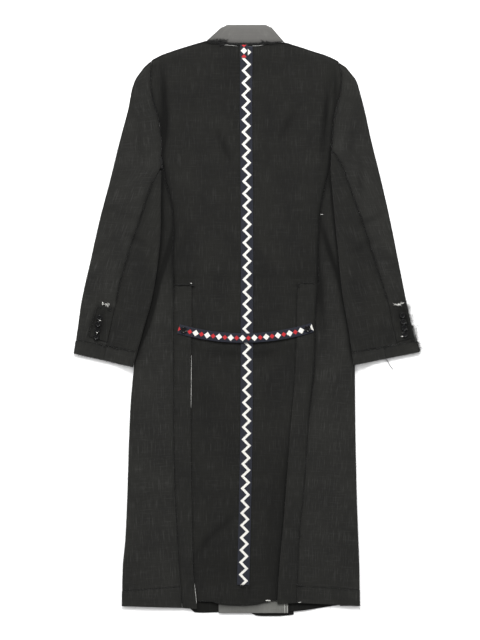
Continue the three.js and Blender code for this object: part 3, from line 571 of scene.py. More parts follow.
def folded(name, length, seam, fold, end, top, bottom, thick, finish, rests_on=(), fine=CREASES,
           slot="charcoal_wool", outward=1, step=GRID_STEP, shade_at=body_shade, seam_until=LENGTH):
    """A shell over folded cloth. seam, fold and end give (x, down) at a share of the length.
    The shade beside its seam ends at the height seam_until."""
    t = shares(length, step=step)
    outer, inner, run = folded_section(
        seam(t), fold(t), end(t), top, bottom, thick, step, fine, seam_until=seam_until
    )
    outer = round_ends(outer, inner, t, length, thick)
    down = seam(t)[1]
    uv = np.stack([outward * run, np.broadcast_to(LENGTH - down[:, None], run.shape)], -1)
    shade = shade_at(outer[..., 0], LENGTH / 2 - outer[..., 1])
    strength = seam_strength(outer[..., 0], down[:, None]) * (1 if seam_until == LENGTH else 0.65)
    above_end = (1 - ease(seam_until - 12, seam_until, down))[:, None]
    shade = shade + seam_shade(run, strength) * above_end
    piece = shell(name, outer, inner, uv, finish, slot, shade=shade)
    declare(rests_on)


def along(columns, column, start, end, inset=0.0):
    """Points on a table's curve at shares of the way between two heights."""

    def points(t):
        down = mix(start, end, t)
        return read(columns, column, down) - inset * SIDES[column], down

    return points


# Materials

def linear(*srgb):
    """An sRGB colour of 0 to 255 as linear light."""
    c = np.array(srgb, float) / 255
    return tuple(np.where(c <= 0.04045, c / 12.92, ((c + 0.055) / 1.055) ** 2.4)) + (1.0,)


NAVY = (20, 24, 38)
OFF_WHITE, RED = linear(222, 220, 214), linear(178, 32, 38)
THREAD_PITCH, RIB_PITCH = 1.1, 1.2  # of the wool's weave and the ribbons' ribs


class Finish:
    """A node material, built by short calls."""

    def __init__(self, name, roughness, sheen=0.0, specular=0.3):
        self.material = bpy.data.materials.new(name)
        self.material.use_nodes = True
        self.nodes = self.material.node_tree.nodes
        self.links = self.material.node_tree.links
        self.shader = self.nodes["Principled BSDF"]
        self.shader.inputs["Roughness"].default_value = roughness
        self.shader.inputs["Specular IOR Level"].default_value = specular
        self.shader.inputs["Sheen Weight"].default_value = sheen
        self.shader.inputs["Sheen Roughness"].default_value = 0.5

    def add(self, kind, inputs=None, **settings):
        """A node with its settings, and values or links for its inputs."""
        node = self.nodes.new(kind)
        for key, value in settings.items():
            setattr(node, key, value)
        for key, value in (inputs or {}).items():
            self.put(node, key, value)
        return node

    def put(self, node, key, value):
        """Link a socket to an input, or set the input's value."""
        if isinstance(value, bpy.types.NodeSocket):
            self.links.new(value, node.inputs[key])
        else:
            node.inputs[key].default_value = value

    def math(self, operation, *values, clamp=False):
        node = self.add("ShaderNodeMath", operation=operation, use_clamp=clamp)
        for k, value in enumerate(values):
            self.put(node, k, value)
        return node.outputs[0]

    def mix(self, factor, a, b, blend="MIX"):
        node = self.add("ShaderNodeMix", data_type="RGBA", blend_type=blend)
        self.put(node, 0, factor)
        self.put(node, 6, a)
        self.put(node, 7, b)
        return node.outputs[2]

    def cloth_mm(self):
        """The cloth's own coordinates in millimetres, as separate x and y."""
        uv = self.add("ShaderNodeUVMap", uv_map="cloth").outputs[0]
        scaled = self.add("ShaderNodeVectorMath", {0: uv, 3: 1000.0}, operation="SCALE").outputs[0]
        split = self.add("ShaderNodeSeparateXYZ", {0: scaled})
        return split.outputs[0], split.outputs[1]

    def noise(self, x, y, across, along, detail=2.0, z=0.0):
        """Noise whose grains are as wide and as long as given, in millimetres."""
        parts = {0: self.math("DIVIDE", x, across), 1: self.math("DIVIDE", y, along), 2: z}
        vector = self.add("ShaderNodeCombineXYZ", parts).outputs[0]
        settings = {"Vector": vector, "Scale": 1.0, "Detail": detail, "Roughness": 0.6}
        return self.add("ShaderNodeTexNoise", settings).outputs[0]

    def cloud(self, scale, detail=2.0):
        """Even noise in the piece's own space."""
        at = self.add("ShaderNodeTexCoord").outputs["Object"]
        settings = {"Vector": at, "Scale": scale, "Detail": detail}
        return self.add("ShaderNodeTexNoise", settings).outputs[0]

    def band(self, value, low, high):
        """0 below low and 1 above high, straight between."""
        limits = {0: value, 1: low, 2: high, 3: 0.0, 4: 1.0}
        return self.add("ShaderNodeMapRange", limits, clamp=True).outputs[0]

    def bump(self, height, distance, strength):
        settings = {"Height": height, "Distance": distance * MM, "Strength": strength}
        return self.add("ShaderNodeBump", settings).outputs[0]

    def done(self, colour, normal=None):
        """The finished material."""
        self.put(self.shader, "Base Color", colour)
        if normal is not None:
            self.links.new(normal, self.shader.inputs["Normal"])
        return self.material


def wool(name, colour, thread, deep):
    """Plain-weave wool: a fine weave, slubs that run up and across, and a faint mottle."""
    f = Finish(name, 0.95, sheen=0.05, specular=0.08)
    x, y = f.cloth_mm()
    upright = f.band(f.noise(x, y, 1.5, 38, z=1.0), 0.55, 0.75)
    crosswise = f.band(f.noise(x, y, 44, 1.4, z=5.0), 0.56, 0.76)
    short = f.band(f.noise(x, y, 2.2, 9, z=9.0), 0.58, 0.78)
    slub = f.math("ADD", f.math("MULTIPLY", upright, 0.75), f.math("MULTIPLY", crosswise, 0.5))
    slub = f.math("ADD", slub, f.math("MULTIPLY", short, 0.35), clamp=True)
    mottle = f.noise(x, y, 70, 90, detail=3.0, z=2.0)
    warp = f.math("SINE", f.math("MULTIPLY", x, 2 * math.pi / THREAD_PITCH))
    weft = f.math("SINE", f.math("MULTIPLY", y, 2 * math.pi / THREAD_PITCH))
    weave = f.math("MULTIPLY", warp, weft)
    grain = f.noise(x, y, 0.7, 0.7, detail=3.0, z=4.0)
    base = f.mix(f.band(mottle, 0.35, 0.65), deep, colour)
    base = f.mix(f.math("MULTIPLY", slub, 0.55), base, thread)
    base = f.mix(f.math("MULTIPLY", f.band(grain, 0.4, 0.6), 0.18), base, deep)
    # Painted shade: each piece's shade attribute darkens the wool towards a deep charcoal, patchy
    # with the mottle.
    shade = f.add("ShaderNodeAttribute", attribute_name="shade").outputs["Fac"]
    patchy = f.math("ADD", 0.55, f.math("MULTIPLY", mottle, 0.9))
    painted_shade = f.math("MULTIPLY", shade, patchy, clamp=True)
    base = f.mix(f.math("MULTIPLY", painted_shade, 0.85), base, tuple(c * 0.28 for c in deep[:3]) + (1.0,))
    height = f.math("ADD", f.math("MULTIPLY", weave, 0.5), f.math("MULTIPLY", grain, 0.9))
    height = f.math("ADD", height, f.math("MULTIPLY", slub, 0.8))
    return f.done(base, f.bump(height, 0.16, 0.8))


def charcoal(name, level):
    """Charcoal wool of one level: its slubs are lighter and its mottle deeper."""
    slubs = linear(level * 2.05, level * 2.05, level * 2)
    deep = linear(level * 0.84, level * 0.84, level * 0.8)
    return wool(f"charcoal_wool_{name}", linear(level, level, level - 2), slubs, deep)


def ribbon(name, motif):
    """Ribbed navy ribbon; motif(finish, x, y) gives the woven colours over the ground."""
    f = Finish(name, 0.62, sheen=0.1, specular=0.25)
    x, y = f.cloth_mm()
    ground = f.mix(f.noise(x, y, 3, 3, z=3.0), linear(*NAVY), linear(*(c * 0.72 for c in NAVY)))
    base = motif(f, x, y, ground)
    ribs = f.math("SINE", f.math("MULTIPLY", y, 2 * math.pi / RIB_PITCH))
    # Painted shade in the hollows between the ribs.
    shade = f.mix(f.band(ribs, -1.0, -0.2), (0.78, 0.78, 0.78, 1), (1, 1, 1, 1))
    base = f.mix(1.0, base, shade, blend="MULTIPLY")
    return f.done(base, f.bump(ribs, 0.22, 0.9))


def triangle_wave(f, value, pitch):
    """A wave that runs straight from 0 to 1 and back once in each pitch."""
    part = f.math("FRACT", f.math("DIVIDE", value, pitch))
    return f.math("ABSOLUTE", f.math("MULTIPLY", f.math("SUBTRACT", part, 0.5), 2.0))


def zigzag_braid(f, x, y, ground):
    """One broad off-white zigzag down a navy ribbon."""
    across = f.math("SUBTRACT", triangle_wave(f, y, 26.0), 0.5)
    near = f.math("ABSOLUTE", f.math("SUBTRACT", x, f.math("MULTIPLY", across, 13.0)))
    line = f.math("SUBTRACT", 1.0, f.band(near, 3.3, 3.8))
    return f.mix(line, ground, OFF_WHITE)


def lozenges(f, x, y, ground):
    """Off-white and red lozenges by turns along a navy ribbon."""
    aside, pitch, base = f.math("ABSOLUTE", x), 25.0, ground
    for shift, half_width, colour in ((0.0, 6.6, OFF_WHITE), (pitch / 2, 4.9, RED)):
        wave = triangle_wave(f, f.math("ADD", y, shift), pitch)
        away = f.math("ADD", f.math("MULTIPLY", wave, pitch / 2), aside)
        outside = f.band(away, half_width, half_width + 0.5)
        base = f.mix(f.math("SUBTRACT", 1.0, outside), base, colour)
    return base


def plain_finish(name, colour, spread=0.25):
    """One colour with a faint unevenness, for threads and slivers of lining."""
    f = Finish(name, 0.8, sheen=0.1, specular=0.2)
    grain = f.cloud(900.0)
    deep = tuple(c * (1 - spread) for c in colour[:3]) + (1.0,)
    return f.done(f.mix(grain, deep, colour), f.bump(grain, 0.1, 0.5))


def button_finish():
    """Polished black button with faint cloudy streaks, as in dark horn."""
    f = Finish("horn_black", 0.14, specular=0.16)
    streaks = f.band(f.cloud(160.0, 4.0), 0.5, 0.75)
    return f.done(f.mix(streaks, linear(8, 8, 9), linear(20, 18, 17)))


def floor_finish():
    """Plain pale studio floor."""
    f = Finish("pale_floor", 0.9, specular=0.05)
    return f.done(f.mix(f.cloud(2.0), (0.86, 0.86, 0.86, 1), (0.88, 0.88, 0.88, 1)))


# Camera, floor and lights

CAMERA_HEIGHT = 3.4  # metres above the surface
PHOTO_HEIGHT = 1357  # what the picture's 640 pixels span at the garment, in millimetres
CAMERA_X, CAMERA_Y = -13.8, 1.1


def camera():
    """A long lens straight above, whose picture spans PHOTO_HEIGHT at the garment."""
    data = bpy.data.cameras.new("camera")
    data.sensor_fit = "VERTICAL"
    data.sensor_height = data.sensor_width = 36
    data.lens = 36 * CAMERA_HEIGHT / (PHOTO_HEIGHT * MM)
    eye = bpy.data.objects.new("camera", data)
    eye.location = (CAMERA_X * MM, CAMERA_Y * MM, CAMERA_HEIGHT)
    bpy.context.scene.collection.objects.link(eye)
    bpy.context.scene.camera = eye


def floor():
    """A wide plain floor just under the garment."""
    half, low = 6.0, -0.0006  # metres
    corners = [(-half, -half, low), (half, -half, low), (half, half, low), (-half, half, low)]
    mesh = bpy.data.meshes.new("floor")
    mesh.from_pydata(corners, [], [(0, 1, 2, 3)])
    mesh.materials.append(floor_finish())
    piece = bpy.data.objects.new("floor", mesh)
    bpy.context.scene.collection.objects.link(piece)


def lamp(name, at, energy, size):
    """A square area light, turned to the garment's middle."""
    data = bpy.data.lights.new(name, "AREA")
    data.shape, data.size, data.energy = "SQUARE", size, energy
    light = bpy.data.objects.new(name, data)
    light.location = at
    light.rotation_mode = "QUATERNION"
    light.rotation_quaternion = (-Vector(at)).to_track_quat("-Z", "Y")
    bpy.context.scene.collection.objects.link(light)


def lights():
    """Three softboxes in an even white surround."""
    lamp("softbox_left", (-3.2, 1.6, 2.9), 95, 2.0)
    lamp("softbox_right", (3.2, 1.6, 2.9), 55, 2.4)
    lamp("softbox_head", (-0.2, 2.8, 2.9), 180, 1.4)
    world = bpy.data.worlds.new("studio")
    world.use_nodes = True
    background = world.node_tree.nodes["Background"]
    background.inputs[0].default_value = (1, 1, 1, 1)
    background.inputs[1].default_value = 0.62
    bpy.context.scene.world = world
    bpy.context.scene.view_settings.view_transform = "Standard"


# Pieces of cloth

def back_outside(side):
    """The back's outer edge: its armhole, and the side seam below it."""

    def edge(down):
        below = ease(SIDE_TOP[side] - 12, SIDE_TOP[side], down)
        seam = mix(read(ARMHOLE, side, down), read(SIDE_SEAM, side, down), below)
        return seam - SIDES[side] * SEAM / 2

    return edge


def back_panel(side, finish):
    """Half of the back, between the centre seam and its outer edge, shoulder to hem."""

    def middle(down):
        return centre(down) + SIDES[side] * SEAM / 2

    def line(across):
        out = 1 - np.asarray(across, float) if side == "left" else np.asarray(across, float)
        return read(SHOULDER_LINE, side, out * SHOULDER_END[side], "out")

    pair = (back_outside(side), middle) if side == "left" else (middle, back_outside(side))
    edges = {"left": "pressed", "right": "pressed", "top": "seam", "bottom": "raw", side: "seam"}
    panel(
        f"back_{side}", *pair, line, hem_of(BACK_HEM, *pair), back_top, CLOTH, edges, finish,
        rests_on=["front_left", "front_right"], shade_at=back_shade,
    )


def side_panel(side, finish):
    """Side panel: from the side seam round the side fold to a seam on the front."""
    end = HEM_LINE[side]
    folded(
        f"side_{side}", end - SIDE_TOP[side],
        along(SIDE_SEAM, side, SIDE_TOP[side], end - SEAM, -SEAM),
        along(BODY_EDGE, side, SIDE_TOP[side], end + 9 - SEAM),
        along(BODY_EDGE, side, SIDE_TOP[side], end + 9 - SEAM, FRONT_SEAM_INSET - SEAM),
        body_top, lambda x, down: 0 * x, CLOTH, finish, outward=SIDES[side],
    )


def hem_band(side, finish):
    """A side's turned-up hem: the same fold, a little outside it and thicker."""
    start, seam, fold = HEM_LINE[side], SIDE_HEM[side]["seam"], SIDE_HEM[side]["fold"]
    folded(
        f"hem_{side}", seam - start,
        along(SIDE_SEAM, side, start, seam, -SEAM),
        along(BODY_EDGE, side, start + 9, fold, -0.4),
        along(BODY_EDGE, side, start + 9, fold, FRONT_SEAM_INSET - SEAM),
        lambda x, down: body_top(x, down) + 0.8, lambda x, down: 0 * x, TURNED_CLOTH, finish,
        outward=SIDES[side],
    )


def vent_strip(side, finish):
    """Strip over the back's edge, between the side seam and the vent's free edge."""

    def outside(down):
        return read(SIDE_SEAM, side, down) - SIDES[side] * SEAM / 2

    def free(down):
        return read(VENT_EDGE, side, down)

    pair = (outside, free) if side == "left" else (free, outside)
    edges = {"left": "pressed", "right": "pressed", "top": "pressed", "bottom": "raw", side: "seam"}
    hem = SIDE_HEM[side]["seam"]

    def lower(across):
        return hem + 2.5 * np.asarray(across if side == "left" else 1 - np.asarray(across), float)

    panel(
        f"vent_{side}", *pair, lambda a: VENT_TOP + 0 * a, lower, body_top,
        THIN_CLOTH, edges, finish, rests_on=[f"back_{side}"],
    )


def sleeve_joined(side, down):
    """The sleeve's lower edge: the front's armhole, then a hidden seam outside the body."""
    joined = 1 - ease(ARMPIT[side] - 40, ARMPIT[side] - 20, down)
    edge = read(BODY_EDGE, side, down) + SIDES[side] * (sleeve_ramp(side, down) + SEAM_EASE)
    return mix(edge, read(ARMHOLE, side, down), joined) + SIDES[side] * SEAM


def top_sleeve(side, finish):
    """Top sleeve: from armhole and elbow seam round the outer fold and back beneath."""
    outer_line, elbow_line, inner_line = CUFF_LINE[side]
    head, to = SLEEVE_HEAD[side], elbow_line - SEAM

    def seam(t):
        down = mix(head, to, t)
        split = ease(ARMPIT[side] - 26, ARMPIT[side] - 22, down)
        x = mix(read(ARMHOLE, side, down), read(ELBOW_SEAM, side, down), split)
        return x + SIDES[side] * SEAM, down

    def end(t):
        down = mix(head, to, t) + (inner_line - 8 - to) * t * t
        return sleeve_joined(side, down), down

    folded(
        f"sleeve_top_{side}", to - head, seam,
        along(SLEEVE_EDGE, side, 90, outer_line - SEAM), end, sleeve_top, sleeve_bottom, CLOTH,
        finish, fine=SLEEVE_CREASES, outward=SIDES[side], shade_at=sleeve_shade,
        seam_until=PLACKET[side][0],
    )


def under_sleeve(side, finish):
    """Under sleeve: from the elbow seam round the inner fold to the body's edge."""
    _, elbow_line, inner_line = CUFF_LINE[side]
    start, to = UNDER_SLEEVE_TOP[side], elbow_line - SEAM

    def end(t):
        down = mix(start, to, t) + (inner_line - 8 - to) * t * t
        return read(BODY_EDGE, side, down) + SIDES[side] * sleeve_ramp(side, down), down

    folded(
        f"sleeve_under_{side}", to - start, along(ELBOW_SEAM, side, start, to, SEAM / 2),
        along(SLEEVE_INSIDE, side, start, inner_line - SEAM), end, sleeve_top, sleeve_bottom, CLOTH,
        finish, rests_on=[f"side_{side}"], fine=SLEEVE_CREASES, outward=-SIDES[side],
        shade_at=sleeve_shade, seam_until=PLACKET[side][0],
    )


def cuff(side, finish):
    """Turned-up cuff: two half sections, to the outer and the inner fold, joined in a ring."""
    outer_line, _, inner_line = CUFF_LINE[side]
    outer_end, inner_end = CUFF_END[side]
    depth = inner_end - inner_line
    t = shares(depth)
    outer_down, inner_down = mix(outer_line, outer_end, t), mix(inner_line, inner_end, t)
    fold = (read(SLEEVE_EDGE, side, outer_down) + SIDES[side] * 0.4, outer_down)
    inside = (read(SLEEVE_INSIDE, side, inner_down) - SIDES[side] * 0.4, inner_down)
    middle = tuple((a + b) / 2 for a, b in zip(fold, inside))

    def top(x, down):
        return sleeve_top(x, down) + 0.8

    halves = [
        folded_section(middle, target, middle, top, sleeve_bottom, TURNED_CLOTH, GRID_STEP,
                       SLEEVE_CREASES, edge_kind="none")
        for target in (fold, inside)
    ]
    outer, inner, run = (
        np.concatenate([half, sign * other[:, -2:0:-1]], 1)
        for half, other, sign in zip(*halves, (1, 1, -1))
    )
    outer = round_ends(outer, inner, t, depth, TURNED_CLOTH)
    uv = np.stack([run, np.broadcast_to(LENGTH - outer_down[:, None], run.shape)], -1)
    # Painted shade along the cuff's turned-up edge, fading over a few millimetres below it.
    shade = np.broadcast_to(0.5 * np.exp(-t * depth / 4)[:, None], run.shape)
    piece = shell(f"cuff_{side}", outer, inner, uv, finish, "charcoal_wool", True, shade)
    declare(())


def collar(finish):
    """Grey collar: up from the neck seam, over at the top edge and back beneath."""

    def foot(t):
        x = mix(*COLLAR_FOOT, t)
        return x, shoulder_line(x) - 2 * SEAM

    def crown(t):
        return mix(*COLLAR_TOP, t), 5 * ease(0.75, 1, np.abs(2 * t - 1))

    def leaf(t):
        return mix(*COLLAR_FOOT, t) * 0.9, 34 + 0 * t

    def top(x, down):
        return body_top(x, np.maximum(down, 42)) - 0.8 * ease(60, 84, np.abs(x))

    folded(
        "collar", 164, foot, crown, leaf, top, lambda x, down: 0 * x, CLOTH, finish,
        slot="grey_wool", step=2.5,
    )


def front_outside(side):
    """A front's outer edge: its armhole, and the seam inside the side fold below."""

    def edge(down):
        seam = read(BODY_EDGE, side, down) - SIDES[side] * FRONT_SEAM_INSET
        armhole = read(ARMHOLE, side, down)
        joined = ease(SIDE_TOP[side] - 22, SIDE_TOP[side] - 4, down)
        return mix(armhole, seam, joined) - SIDES[side] * 2 * SEAM

    return edge


def roll_line(side):
    """A front's inner edge: straight from the neck's side to where the lap begins."""
    edge = TWO_FRONTS["right"] if side == "left" else TWO_FRONTS["left"]

    def line(down):
        return mix(SIDES[side] * NECK_SIDE, edge, np.clip((down - 46) / (BREAK_DOWN - 46), 0, 1))

    return line


def front_panel(side, finish):
    """A flat front; the right one steps up, as 3t^2 - 2t^3, where it laps the left."""

    def line(across):
        out = 1 - np.asarray(across, float) if side == "left" else np.asarray(across, float)
        return read(SHOULDER_LINE, side, mix(84, SHOULDER_END[side], out), "out") + 2

    def height(x, down):
        edge = roll_line("left")(down)
        t = np.clip((x - edge - 22) / 30, 0, 1)
        lap = (FRONT_CLOTH + SEAM) * (1 - t * t * (3 - 2 * t))
        return FRONT_CLOTH + (lap if side == "right" else 0 * x)

    outside, inside = front_outside(side), roll_line(side)
    pair = (outside, inside) if side == "left" else (inside, outside)
    panel(
        f"front_{side}", *pair, line, hem_of(FRONT_HEMS[side], *pair), height, FRONT_CLOTH,
        {"left": "round", "right": "round", "top": "round", "bottom": "raw"}, finish, fine=None,
        step=9, rests_on=["front_left"] if side == "right" else (),
    )


def front_facing(finish):
    """Grey facing: a level strip on the right front that shows below the back."""
    panel(
        "front_facing", lambda d: TWO_FRONTS["left"] + 1 + 0 * d, lambda d: 88 + 0 * d,
        lambda a: 1150 + 0 * a, lambda a: 1246 + 0 * a,
        lambda x, down: 2 * FRONT_CLOTH + 2 * SEAM + FACING + 0 * x, FACING,
        {"left": "raw", "right": "raw", "bottom": "raw"}, finish, slot="grey_wool", fine=None,
        rests_on=["front_right"], shade_at=facing_shade,
    )


def placket_edge(side):
    """The placket's outer edge: out from the elbow seam, 6 mm further at its foot."""
    top, bottom, wide = PLACKET[side]

    def edge(down):
        out = mix(wide, wide + 6, np.clip((down - top) / (bottom - top), 0, 1))
        return read(ELBOW_SEAM, side, down) + SIDES[side] * out

    return edge


def placket(side, finish):
    """Placket of a sleeve's vent: from beside the elbow seam out, its foot slanted."""
    top, bottom, _ = PLACKET[side]
    slant = 12 if side == "left" else 10

    def seam(down):
        return read(ELBOW_SEAM, side, down) + SIDES[side]

    def lower(across):
        return bottom - slant + slant * (across if side == "left" else 1 - across)

    pair = (placket_edge(side), seam) if side == "left" else (seam, placket_edge(side))
    panel(
        f"placket_{side}", *pair, lambda a: top + 0 * a, lower,
        lambda x, down: sleeve_top(x, down) + 2 * SEAM + THIN_CLOTH, THIN_CLOTH,
        {"left": "pressed", "right": "pressed", "top": "pressed", "bottom": "raw"}, finish,
        fine=SLEEVE_CREASES, step=3, rests_on=[f"sleeve_top_{side}"], shade_at=sleeve_shade,
    )


# Ribbons

def tape_base(down):
    """Height under the tape: the body's at the centre seam, less the vents' recess."""
    recess = VENT_RECESS * ease(VENT_TOP - 19, VENT_TOP + 41, down)
    return body_top(centre(down), down) - recess + SEAM + RIBBON_EASE


def strip(name, line_x, line_down, way_x, way_down, width, base, finish, rests_on):
    """A ribbon along a line: across it runs from one edge to the other, slightly crowned."""
    across = np.array([0, 0.02, 0.06, 0.2, 0.35, 0.5, 0.65, 0.8, 0.94, 0.98, 1]) - 0.5
    run = np.concatenate([[0], np.cumsum(np.hypot(np.diff(line_x), np.diff(line_down)))])
    normal_x, normal_down = -way_down, way_x
    x = line_x[:, None] + normal_x[:, None] * across * width
    down = line_down[:, None] + normal_down[:, None] * across * width
    crown = 0.25 * (1 - (2 * np.abs(across)) ** 6)[None]
    z = base[:, None] + RIBBON - 0.25 + crown
    outer, inner = place(x, down, z), place(x, down, base[:, None] + 0 * x)
    uv = np.stack(np.broadcast_arrays(across[None] * width, run[:, None]), -1)
    piece = shell(name, outer, inner, uv, finish, "ribbon")
    declare(rests_on)


def back_tape(finish):
    """Ribbon along the centre seam, turned with the seam's lean."""
    down = np.linspace(46, 1186, 300)
    lean = (centre(down + 1) - centre(down - 1)) / 2
    size = np.hypot(1, lean)
    strip("back_tape", centre(down), down, lean / size, 1 / size, TAPE_WIDTH, tape_base(down),
          finish, ["back_left", "back_right"])


def neck_tab(finish):
    """Loop at the neck: a short ribbon that rises off the tape as half a sine."""
    down = np.linspace(44, 44 + TAB_LENGTH, 24)
    base = tape_base(58) + SEAM + RIBBON + 0.6 * np.sin(np.pi * np.linspace(0, 1, 24))
    strip("neck_tab", 0 * down - 5.5, down, 0 * down, 1 + 0 * down, TAB_WIDTH, base, finish,
          ["back_tape"])


def belt_share(x):
    """Share of the way along the half belt."""
    return (x - BELT_ENDS["left"]) / (BELT_ENDS["right"] - BELT_ENDS["left"])


def belt_line(x):
    """The half belt's upper edge: a parabola that hangs lowest in the middle."""
    t = belt_share(x)
    return mix(634, 631, t) + BELT_HANG * 4 * t * (1 - t)


def belt_base(x):
    """Height under the half belt: the body's, and half a sine between the buttons."""
    bow = 1.6 * np.sin(np.pi * np.clip(belt_share(x), 0, 1))
    return body_top(x, belt_line(x) + BELT_WIDTH / 2) + SEAM + 0.4 + bow


def half_belt(finish):
    """Ribbon along the half belt's line, turned with its slope."""
    x = np.linspace(BELT_ENDS["left"], BELT_ENDS["right"], 120)
    slope = (belt_line(x + 1) - belt_line(x - 1)) / 2
    size = np.hypot(1, slope)
    strip("half_belt", x, belt_line(x) + BELT_WIDTH / 2, 1 / size, slope / size, BELT_WIDTH,
          belt_base(x), finish, ["vent_left", "vent_right"])


# Buttons

def button(name, diameter, x, down, base, finish):
    """A turned button: a profile of rim, dish and rounded edge carried round its axis. Gives
    the ends of two bars of thread over its holes, as (x, down, height)."""
    r, h = diameter / 2, BUTTON_HEIGHT
    profile = np.array([
        (0, 0), (0.72, 0), (0.9, 0.12), (0.99, 0.36), (1, 0.6), (0.96, 0.84), (0.88, 0.97),
        (0.8, 1), (0.7, 0.95), (0.62, 0.8), (0.52, 0.72), (0, 0.7),
    ]) * (r, h)
    count = 40
    turn = np.linspace(0, 2 * math.pi, count, endpoint=False)
    ring = profile[1:-1]
    px = (ring[:, 0:1] * np.cos(turn)).ravel() + x
    py = (ring[:, 0:1] * np.sin(turn)).ravel() + LENGTH / 2 - down
    pz = np.repeat(ring[:, 1], count) + base
    y = LENGTH / 2 - down
    poles = [[x, y, base], [x, y, base + profile[-1, 1]]]
    points = np.concatenate([np.stack([px, py, pz], 1), poles])
    k = np.arange(count)
    rows = np.arange(len(ring) - 1)[:, None] * count
    a, b = (rows + k).ravel(), (rows + (k + 1) % count).ravel()
    faces = np.stack([a, b, b + count, a + count], 1).tolist()
    last = (len(ring) - 1) * count
    low, high = len(ring) * count, len(ring) * count + 1
    faces += [[low, (j + 1) % count, j] for j in range(count)]
    faces += [[high, last + j, last + (j + 1) % count] for j in range(count)]
    new_piece(name, points, faces, finish, "horn_button", (name,))
    hole, top = 0.17 * r, base + 0.74 * h
    return [((x + s, down - hole, top), (x + s, down + hole, top)) for s in (-hole, hole)]


# Threads

def body_skin(x, down):
    """Height of the body's cloth with its creases."""
    return body_top(x, down) + bumps(CREASES, x, down) + ripple(x, down)


def back_skin(x, down):
    """Height of the back's cloth with its creases."""
    return back_top(x, down) + bumps(CREASES, x, down) + ripple(x, down)


def sleeve_skin(x, down):
    """Height of the sleeves' cloth with its creases."""
    return sleeve_top(x, down) + bumps(SLEEVE_CREASES, x, down) + ripple(x, down)


# Kinds of thread: radius in mm, colour, and slot
THREADS = {
    "black": (0.26, (20, 20, 19), "charcoal_wool"),
    "tack": (0.72, (14, 14, 13), "charcoal_wool"),
    "grey": (0.2, (56, 56, 54), "charcoal_wool"),
    "hair_and_glint": (0.2, (92, 92, 90), "charcoal_wool"),
    "white": (0.36, (224, 223, 218), None),
}
FRAYED = {"black": 0.82, "grey": 0.18}


def strands(name, paths, radius, finish, slot=None):
    """Joined thin threads: a four-sided ring swept along each path, narrower at its tips."""
    paths = np.asarray(paths, float)
    count, steps, _ = paths.shape
    tangent = np.gradient(paths, axis=1)
    tangent /= np.linalg.norm(tangent, axis=-1, keepdims=True)
    sideways = np.cross(tangent, (0.01, 0.02, 1.0))
    sideways /= np.linalg.norm(sideways, axis=-1, keepdims=True)
    lift = np.cross(sideways, tangent)
    turn = np.pi * (np.arange(4) / 2 + 0.25)
    along_path = np.linspace(-1, 1, steps)
    width = radius * (1 - 0.6 * np.abs(along_path) ** 3)[None, :, None, None]
    ring = np.cos(turn)[:, None] * sideways[:, :, None] + np.sin(turn)[:, None] * lift[:, :, None]
    points = (paths[:, :, None] + width * ring).reshape(-1, 3)
    index = np.arange(count * steps * 4).reshape(count, steps, 4)
    a, b = index[:, :-1], index[:, 1:]
    walls = np.stack([a, np.roll(a, -1, -1), np.roll(b, -1, -1), b], -1).reshape(-1, 4)
    faces = facing_out(points, np.concatenate([walls, index[:, 0, ::-1], index[:, -1]]))
    new_piece(name, points, faces.tolist(), finish, slot)


class Frays:
    """Loose threads gathered by kind, then made into one object for each kind."""

    def __init__(self, seed):
        self.rng = np.random.default_rng(seed)
        self.kinds = {kind: [] for kind in THREADS}

    def add(self, paths, kinds):
        """Share paths out by chance between kinds, given as {kind: share}."""
        pick = self.rng.choice(len(kinds), len(paths), p=list(kinds.values()))
        for k, kind in enumerate(kinds):
            self.kinds[kind].append(paths[pick == k])

    def from_line(self, line, skin, count, reach, kinds=FRAYED, one_way=0):
        """Threads that leave a line at random places and angles, each a short bent curve.
        one_way is 1 or -1 to keep them to one side of the line, and 0 for both."""
        rng = self.rng
        t = rng.random(count)
        x, down = line(t)
        x2, down2 = line(t + 0.002)
        step = np.hypot(x2 - x, down2 - down)
        tx, td = (x2 - x) / step, (down2 - down) / step
        way = one_way if one_way else rng.choice([-1, 1], count)
        angle = rng.normal(0, 0.8, count)
        cos, sin = np.cos(angle) * way, np.sin(angle)
        dx, dd = cos * td + sin * tx, -cos * tx + sin * td
        length = reach * (0.35 + rng.gamma(2.0, 0.3, count))
        bend = rng.normal(0, 0.35, count) * length
        u = np.linspace(0, 1, 4)[None]
        px = x[:, None] + (dx * length)[:, None] * u - (dd * bend)[:, None] * u**2
        pd = down[:, None] + (dd * length)[:, None] * u + (dx * bend)[:, None] * u**2
        rise = np.abs(rng.normal(0, 0.5, count))[:, None] * np.sin(np.pi * u * 0.8)
        self.add(place(px, pd, skin(px, pd) + 0.15 + rise), kinds)

    def clump(self, x, down, wide, high, length, count, turn, skin, kinds):
        """Threads laid over one small spot, most of them near one direction."""
        rng = self.rng
        cx = x + rng.uniform(-0.5, 0.5, count) * wide
        cd = down + rng.uniform(-0.5, 0.5, count) * high
        angle = math.radians(turn) + rng.normal(0, 0.45, count)
        half = length * rng.uniform(0.3, 0.6, count)
        u = np.linspace(-1, 1, 4)[None]
        px = cx[:, None] + (np.cos(angle) * half)[:, None] * u
        pd = cd[:, None] + (np.sin(angle) * half)[:, None] * u
        pd = pd + rng.normal(0, 0.3, count)[:, None] * u**2
        z = skin(px, pd) + 0.5 + rng.uniform(0, 0.9, count)[:, None] + 0.4 * (1 - u**2)
        self.add(place(px, pd, z), kinds)


